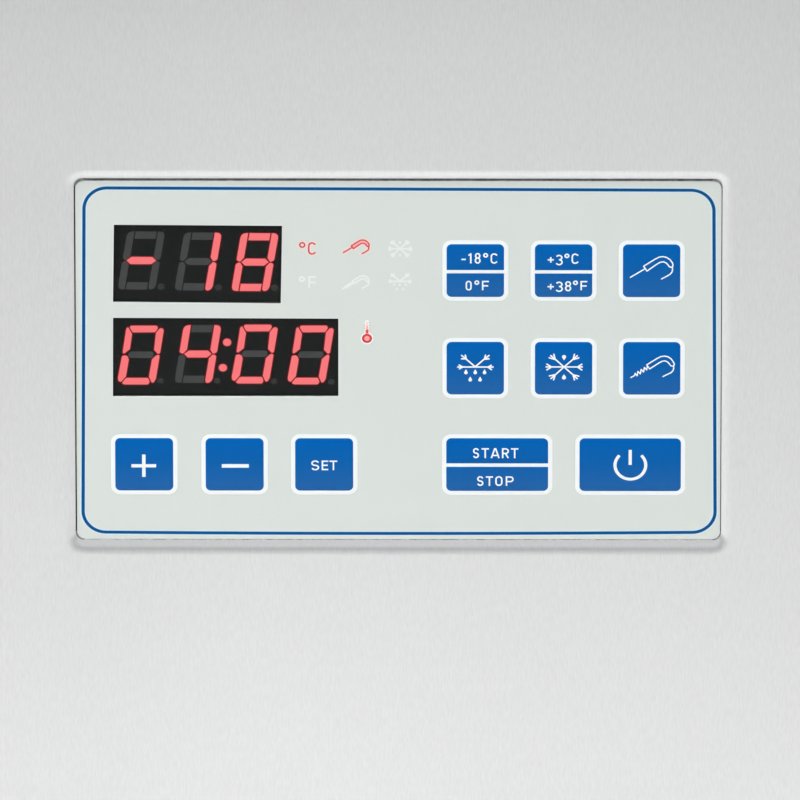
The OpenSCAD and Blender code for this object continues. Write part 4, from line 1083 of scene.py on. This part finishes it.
def digits(name, centre, size, chars, places, style, dots, lit_dots, turn=0.0):
    """The lit face of an LED module: a thin plate with its digits."""
    slant = math.tan(math.radians(8.8))
    y = FY + 1.46
    off, on, edge, dim = [], [], [], []
    for ch, (u, v), st in zip(chars, places, style):
        cx, cz = P(u, v, y - YL)
        for k, poly in (seg_b() if st == "b" else seg_a()).items():
            if st == "c" and k == "g":
                poly = [(x * 1.08, z * 1.04) for x, z in poly]
            def put(q):
                res = []
                for x, z in q:
                    x2 = x + z * slant
                    res.append((cx + x2 * math.cos(turn) - z * math.sin(turn), cz + x2 * math.sin(turn) + z * math.cos(turn)))
                return res
            if k in LIT[ch]:
                on.append(put(grow(poly, -0.05)))
                edge.append(put(grow(poly, 0.14)))
            else:
                off.append(put(grow(poly, -0.03)))
    for u, v, r in dots:
        cx, cz = P(u, v, y - YL)
        dim.append(disc(cx, cz, r, 20))
    for u, v, r in lit_dots:
        cx, cz = P(u, v, y - YL)
        on.append(disc(cx, cz, r - 0.06, 24))
        edge.append(disc(cx, cz, r + 0.13, 24))
    hw, hh = size[0] / 2, size[1] / 2
    outline = [(centre[0] - hw, centre[1] - hh), (centre[0] + hw, centre[1] - hh), (centre[0] + hw, centre[1] + hh),
               (centre[0] - hw, centre[1] + hh)]
    pts, tris, ink = cdt(outline, [], [(1, off), (4, dim), (3, edge), (2, on)])
    b = Build()
    b.plate([(x, z + PZ0) for x, z in pts], tris, ink, y)
    o3 = [(x, z + PZ0) for x, z in outline]
    b.loft([[(x, y, z) for x, z in o3], [(x, y + 0.03, z) for x, z in o3]], cap0=False, cap1=False, smooth=False)
    b.face(b.add([(x, y + 0.03, z) for x, z in o3]))
    b.out(name, [led_black, led_off, led_on, led_edge, led_dim], slot="led_face")


front_fascia()
label_plate()
for k_name in KEYS:
    key(k_name)
digits("led_face_temp", (-44.8, 23.6), (37.5, 18.9), "-18", [(141.3, 260.5), (198.1, 261.5), (255.0, 262.1)],
       "caa", [(161.0, 286.7, 0.8), (218.4, 287.4, 0.8), (274.5, 287.7, 0.8)], [], math.radians(-0.35))
digits("led_face_time", (-38.5, 0.9), (50.4, 18.9), "0400",
       [(141.0, 355.2), (197.9, 354.0), (254.9, 354.2), (310.9, 355.1)], "babb",
       [(160.5, 380.8, 0.72), (217.2, 380.8, 0.72), (274.1, 381.3, 0.72), (331.3, 381.8, 0.72)],
       [(227.1, 342.3, 0.97), (222.9, 367.7, 0.97)])


# ---------------------------------------------------------------- folded sheet panels
def tray_shell(name, u0, u1, v0, v1, front, back, t, fold, corner, place, mats, body, node, slot, n=6, cut=None):
    """A sheet folded back on all four sides. place(u, v, d) gives the point at depth d behind the face."""
    uc, vc, hu, hv = (u0 + u1) / 2, (v0 + v1) / 2, (u1 - u0) / 2, (v1 - v0) / 2
    way = 1 if back > front else -1
    loops = []
    for i in range(n + 1):
        a = math.pi / 2 * i / n
        k = fold * math.sin(a)
        loops.append([place(x, z, front + way * fold * (1 - math.cos(a))) for x, z in
                      rr(hu - fold + k, hv - fold + k, corner + k, n, uc, vc)])
    loops.append([place(x, z, back) for x, z in rr(hu, hv, corner + fold, n, uc, vc)])
    fi = max(fold - t, 0.3)
    loops.append([place(x, z, back) for x, z in rr(hu - t, hv - t, corner + fi, n, uc, vc)])
    for i in range(n, -1, -1):
        a = math.pi / 2 * i / n
        k = fi * math.sin(a)
        loops.append([place(x, z, front + way * (t + fi * (1 - math.cos(a)))) for x, z in
                      rr(hu - t - fi + k, hv - t - fi + k, corner + k, n, uc, vc)])
    b = Build()
    b.loft(loops)
    ob = b.out(name, mats, body=body, replaces=[node], slot=slot)
    return ob


def drill(ob, holes):
    """Cuts round vertical holes (x, y, z0, z1, r) through a finished sheet piece."""
    c = Build()
    for x, y, z0, z1, r in holes:
        c.lathe([(r, z0), (r, z1)], (x, y, 0), "Z", 40)
    me = bpy.data.meshes.new("drill")
    me.from_pydata([(x / 1000, y / 1000, z / 1000) for x, y, z in c.v], [], c.f)
    tool = bpy.data.objects.new("drill", me)
    scene.collection.objects.link(tool)
    md = ob.modifiers.new("drill", "BOOLEAN")
    md.operation, md.object, md.solver = "DIFFERENCE", tool, "EXACT"
    dg = bpy.context.evaluated_depsgraph_get()
    new = bpy.data.meshes.new_from_object(ob.evaluated_get(dg))
    ob.modifiers.clear()
    ob.data = new
    new.set_sharp_from_angle(angle=math.radians(38))
    bpy.data.objects.remove(tool)


door = tray_shell("door_skin_folded", -372, 372, 333, 875, FY, -282, 1.0, 2.5, 1.0, lambda x, z, y: (x, y, z), [steel_v],
                  "door", "door_outer_skin", "stainless")
drill(door, [(361, -307, 320, 345, 8.2), (361, -307, 865, 890, 8.2)])
tray_shell("top_cover_folded", -375, 375, -274.2, 365.2, 880, 859, 1.0, 2.5, 1.5, lambda x, y, z: (x, y, z), [steel_x],
           "root", "top_panel", "stainless")


def door_liner():
    """The door's inner sheet: a flat flange and a pressed plateau with soft edges."""
    b = Build()
    x1, z0, z1, cz = 371.8, 333.2, 874.8, 605.0
    zc, hh = (z0 + z1) / 2, (z1 - z0) / 2
    y0, y1, yb = -281.8, -280.0, -266.0
    n = 8

    def lp(hw, hz, r, y, c=cz):
        return [(x, y, z) for x, z in rr(hw, hz, r, n, 0, c)]

    front = [lp(x1, hh, 1.5, y0, zc), lp(x1, hh, 1.5, y1 - 0.4, zc), lp(x1 - 0.4, hh - 0.4, 1.2, y1, zc)]
    rise = []
    R = 3.5
    for i in range(7):
        a = math.pi / 2 * i / 6
        rise.append((283 + R * (1 - math.sin(a)) - 0.0, y1 + R * (1 - math.cos(a))))
    top = []
    for i in range(9):
        a = math.pi / 2 * i / 8
        top.append((283 - 5.0 * (1 - math.cos(a)), yb - 5.0 * (1 - math.sin(a))))
    loops = list(front)
    for w, y in rise + top:
        loops.append(lp(w, w - 283 + 195, 14 + max(0, w - 283), y))
    b.loft(loops, cap0=False, cap1=True)
    # inner face of the sheet, closed behind
    k = [lp(283 - 6.2, 195 - 6.2, 9, yb - 1.2), lp(283 - 1.2, 195 - 1.2, 12.8, yb - 6.0), lp(283 - 1.2, 195 - 1.2, 12.8, y0),
         lp(x1, hh, 1.5, y0, zc)]
    b.loft(k, cap0=True, cap1=False)
    return b.out("door_liner_pressed", [steel_in], body="door", replaces=["door_inner_liner"], slot="stainless_chamber")


door_liner()


def gasket():
    """A magnetic door seal: base strip, two bellows folds and a flat magnet face, swept round the door."""
    y0, y1 = -279.8, -273.2
    cz, n = 604.0, 8
    # profile: distance in from the outer edge (0..14), y
    prof = [(0.6, y0), (13.4, y0), (13.8, y0 + 0.8), (12.6, y0 + 1.7), (11.0, y0 + 2.0), (12.7, y0 + 2.7), (13.5, y0 + 3.5),
            (12.4, y0 + 4.2), (11.6, y0 + 4.4), (13.3, y0 + 5.1), (14.0, y0 + 5.9), (13.2, y1), (1.4, y1),
            (0.2, y1 - 0.7), (0.9, y1 - 1.8), (2.6, y0 + 4.3), (1.4, y0 + 3.6), (0.3, y0 + 2.9), (1.3, y0 + 2.1),
            (2.8, y0 + 1.7), (0.9, y0 + 1.0), (0.0, y0 + 0.5)]
    b = Build()
    ids = [b.add([(x, y, z) for x, z in rr(345 - d, 250 - d, max(1.5, 10 - d * 0.3), n, 0, cz)]) for d, y in prof]
    for i in range(len(ids)):
        b.bridge(ids[i], ids[(i + 1) % len(ids)])
    return b.out("gasket_bellows", [rubber], body="door", replaces=["door_gasket"], slot="seal_rubber", sharp=50)


gasket()


def feet():
    for node, x, y in (("foot_front_left", -330, -248), ("foot_front_right", 330, -248), ("foot_rear_left", -330, 314),
                       ("foot_rear_right", 330, 314)):
        b = Build()
        b.lathe([(0, 0.0), (19.6, 0.0), (20.6, 0.5), (21, 1.5), (21, 3.0), (20.2, 3.4), (20.2, 4.2), (21, 4.6), (21, 6.8),
                 (20.4, 7.7), (19.0, 8.1), (9.6, 14.2), (9.0, 15.2), (0, 15.2)], (x, y, 0), "Z", 56, 1)
        prof = [(0, 20)]
        z = 23.5
        while z < 80.5:
            prof += [(5.0, z), (4.55, z + 0.55)]
            z += 1.1
        prof += [(4.5, 81.4), (3.9, 82.0), (0, 82.0)]
        b.lathe(prof, (x, y, 0), "Z", 24, 0)
        hexa = []
        for zz, k in ((14.9, 0.93), (15.6, 1.0), (23.3, 1.0), (24.0, 0.93)):
            ring = []
            for i in range(24):
                a = 2 * math.pi * i / 24
                cap = 10.98 * math.cos(math.pi / 6) / math.cos((a % (math.pi / 3)) - math.pi / 6)
                rr_ = min(cap, 10.98 * k + (0 if k == 1.0 else 0.0)) if k < 1 else cap
                ring.append((x + rr_ * math.cos(a), y + rr_ * math.sin(a), zz))
            hexa.append(ring)
        b.loft(hexa, 0, smooth=False)
        b.out(node + "_turned", [thread, rubber], body=node, replaces=[node], slot="bracket_steel", sharp=30)


feet()


def screws():
    """Pan-head screws with a cross recess."""
    b = Build()
    n = 28
    spots = [(s * 364.8, 366.3, z, -1, 2.3) for s in (-1, 1) for z in (90, 190, 300, 352, 480, 610, 740, 845)]
    spots += [(s * 288, 129.9, z, 1, 2.3) for s in (-1, 1) for z in (415, 795)]
    for i in range(4):
        a = math.radians(45 + 90 * i)
        spots.append((134 * math.cos(a), 126.8, 600 + 134 * math.sin(a), 1, 6.4))
    for cx, y, cz, d, shank in spots:
        if d < 0:
            y = 364.1
        base, out_ = y, -d
        # head: from the seat outwards
        prof = [(4.4, 0.0), (4.4, 0.55), (4.15, 1.15), (3.55, 1.65), (2.75, 1.98), (2.1, 2.12)]
        rings = [[(cx + r * math.cos(2 * math.pi * i / n), base + out_ * h, cz + r * math.sin(2 * math.pi * i / n))
                  for i in range(n)] for r, h in prof]
        ids = [b.add(r) for r in rings]
        for p, q in zip(ids, ids[1:]):
            b.bridge(p, q)
        cross = [(-0.42, -1.7), (0.42, -1.7), (0.42, -0.42), (1.7, -0.42), (1.7, 0.42), (0.42, 0.42), (0.42, 1.7), (-0.42, 1.7),
                 (-0.42, 0.42), (-1.7, 0.42), (-1.7, -0.42), (-0.42, -0.42)]
        top = [(2.1 * math.cos(2 * math.pi * i / n), 2.1 * math.sin(2 * math.pi * i / n)) for i in range(n)]
        pts, tris, ink = cdt(top, [cross], [])
        b.plate([(cx + p, cz + q) for p, q in pts], tris, ink, base + out_ * 2.12)
        c0 = b.add([(cx + p, base + out_ * 2.12, cz + q) for p, q in cross])
        c1 = b.add([(cx + p * 0.7, base + out_ * 0.75, cz + q * 0.7) for p, q in cross])
        b.bridge(c0, c1, smooth=False)
        b.face(c1)
        s0 = [(cx + 4.4 * math.cos(2 * math.pi * i / n), base, cz + 4.4 * math.sin(2 * math.pi * i / n)) for i in range(n)]
        s1 = [(cx + 2.25 * math.cos(2 * math.pi * i / n), base, cz + 2.25 * math.sin(2 * math.pi * i / n)) for i in range(n)]
        s2 = [(cx + 2.25 * math.cos(2 * math.pi * i / n), base - out_ * (shank - 0.5), cz + 2.25 * math.sin(2 * math.pi * i / n))
              for i in range(n)]
        s3 = [(cx + 1.6 * math.cos(2 * math.pi * i / n), base - out_ * shank, cz + 1.6 * math.sin(2 * math.pi * i / n))
              for i in range(n)]
        b.loft([s0, s1, s2, s3], cap0=False)
    b.out("screw_set", [zinc], replaces=["fasteners"], slot="bracket_steel", sharp=32)


screws()


def compressor():
    b = Build()
    cx, cy, zb = 200, 170, 82
    prof = [(0, 2)]
    for i in range(13):
        a = math.pi / 2 * i / 12
        prof.append((80 * math.sin(a), 20 - 18 * math.cos(a)))
    prof += [(80, 84), (82.4, 85.2), (84, 87), (84, 90), (82.4, 91.8), (80, 93), (80, 153)]
    for i in range(17):
        a = math.pi / 2 * i / 16
        prof.append((80 * math.cos(a), 155 + 44 * math.sin(a)))
    b.lathe(prof, (cx, cy, zb), "Z", 72, 0)
    b.rbox((cx - 95, cy - 62, zb), (cx + 95, cy + 62, zb + 4), 1.5, 3, 0)
    b.rbox((cx - 30, cy - 108, zb + 50), (cx + 30, cy - 70, zb + 120), 5, 4, 1)
    b.rbox((cx - 6, cy - 110.0, zb + 82), (cx + 6, cy - 107, zb + 88), 1.2, 2, 1)
    # process stub
    b.lathe([(3.2, 0), (3.2, 26), (2.2, 30)], (cx + 46, cy - 44, zb + 180), "Z", 20, 2)
    b.out("compressor_shell", [enamel, black_pl, copper], replaces=["compressor"], slot="motor_enamel", sharp=45)


compressor()

soften("door_handle", grip, 3.2, seg=5)
soften("hinge_brackets", bracket, 0.7)
soften("electrical_box", grey_box, 2.0, seg=3)
soften("display_housing", black_pl, 0.8)
soften("condenser_shroud", galv, 0.4)
soften("evap_fan_motor", motor, 0.8)
soften("condenser_fan_motor", motor, 0.8)
soften("compressor_mounts", rubber, 1.6, seg=3)
soften("mains_gland", black_pl, 0.6)
soften("probe_socket", black_pl, 1.2, seg=3)
soften("door_hinge_bushes", nylon, 0.5)
soften("tray_racks", steel_in, 0.25, seg=1)
soften("door_frame_trim", trim_pl, 0.8)
soften("probe_holder", steel_in, 0.35)

for nd, mt in {
    "base_pan": galv, "outer_wrap": steel_v, "rear_panel": galv, "rear_grille": galv, "cabinet_foam": foam,
    "chamber_liner": steel_in, "door_foam": foam, "shelf_lower": chrome, "shelf_upper": chrome, "fan_panel": steel_in,
    "evap_fan_guard": chrome, "evap_fan_rotor": fan_pl, "evaporator_fins": fins, "evaporator_tubes": copper,
    "evap_drip_pan": steel_in, "drain_pipe": pipe_pl, "condenser_fins": fins, "condenser_tubes": copper,
    "condenser_fan_rotor": fan_al, "refrigerant_lines": copper, "display_temp": black_pl, "display_time": black_pl,
    "display_board": pcb,
}.items():
    dress(nd, mt)

# ---------------------------------------------------------------- floor and light
floor_mat = material("pale_floor", (0.80, 0.80, 0.79), rough=0.75, scale=(3, 3, 3), vary=0.01, rvary=0.03, spec=0.2)
fm = bpy.data.meshes.new("floor")
fm.from_pydata([(-8, -8, 0), (8, -8, 0), (8, 8, 0), (-8, 8, 0)], [], [(0, 1, 2, 3)])
fm.materials.append(floor_mat)
floor = bpy.data.objects.new("floor", fm)
scene.collection.objects.link(floor)

world = bpy.data.worlds.new("studio")
scene.world = world
world.use_nodes = True
wt = world.node_tree
wt.nodes.clear()
wo = wt.nodes.new("ShaderNodeOutputWorld")
wm = wt.nodes.new("ShaderNodeMixShader")
wl = wt.nodes.new("ShaderNodeLightPath")
wb1 = wt.nodes.new("ShaderNodeBackground")
wb2 = wt.nodes.new("ShaderNodeBackground")
# a room that is darkest at eye height and lightest overhead
wc = wt.nodes.new("ShaderNodeTexCoord")
ws = wt.nodes.new("ShaderNodeSeparateXYZ")
wr = wt.nodes.new("ShaderNodeValToRGB")
wt.links.new(wc.outputs["Generated"], ws.inputs["Vector"])
wt.links.new(ws.outputs["Z"], wr.inputs["Fac"])
we = wr.color_ramp.elements
we[0].position, we[0].color = 0.0, (0.30, 0.302, 0.304, 1)
we[1].position, we[1].color = 1.0, (0.98, 0.985, 0.99, 1)
for w_at, w_grey in ((0.06, 0.36), (0.13, 0.70), (0.22, 0.79), (0.34, 0.75), (0.43, 0.665), (0.70, 0.66), (0.80, 0.94)):
    w_el = we.new(w_at)
    w_el.color = (w_grey, w_grey * 1.005, w_grey * 1.01, 1)
wt.links.new(wr.outputs["Color"], wb1.inputs["Color"])
wb1.inputs["Strength"].default_value = 1.0
wb2.inputs["Color"].default_value = (0.86, 0.87, 0.88, 1)
wb2.inputs["Strength"].default_value = 1.0
wt.links.new(wl.outputs["Is Camera Ray"], wm.inputs["Fac"])
wt.links.new(wb1.outputs["Background"], wm.inputs[1])
wt.links.new(wb2.outputs["Background"], wm.inputs[2])
wt.links.new(wm.outputs["Shader"], wo.inputs["Surface"])


def area(name, loc, aim, size, power, colour=(1, 1, 1), spread=180.0):
    d = bpy.data.lights.new(name, "AREA")
    d.shape = "RECTANGLE"
    d.size, d.size_y = size
    d.energy = power
    d.color = colour
    d.spread = math.radians(spread)
    o = bpy.data.objects.new(name, d)
    scene.collection.objects.link(o)
    o.location = loc
    o.rotation_euler = (Vector(aim) - Vector(loc)).to_track_quat("-Z", "Y").to_euler()
    o.visible_camera = False
    return o


area("light_left", (-1.5, -0.9, 1.6), (-0.1, -0.40, 0.0), (0.5, 0.5), 1.84, spread=50)
area("light_right", (1.5, -0.9, 1.6), (0.1, -0.40, 0.0), (0.5, 0.5), 0.15, spread=50)
area("light_near_floor", (0.0, -0.75, 2.4), (0.0, -0.36, 0.0), (0.3, 0.3), 0.32, spread=24)
area("light_back", (1.9, 2.4, 0.95), (0.0, 0.3, 0.45), (1.6, 0.9), 9)
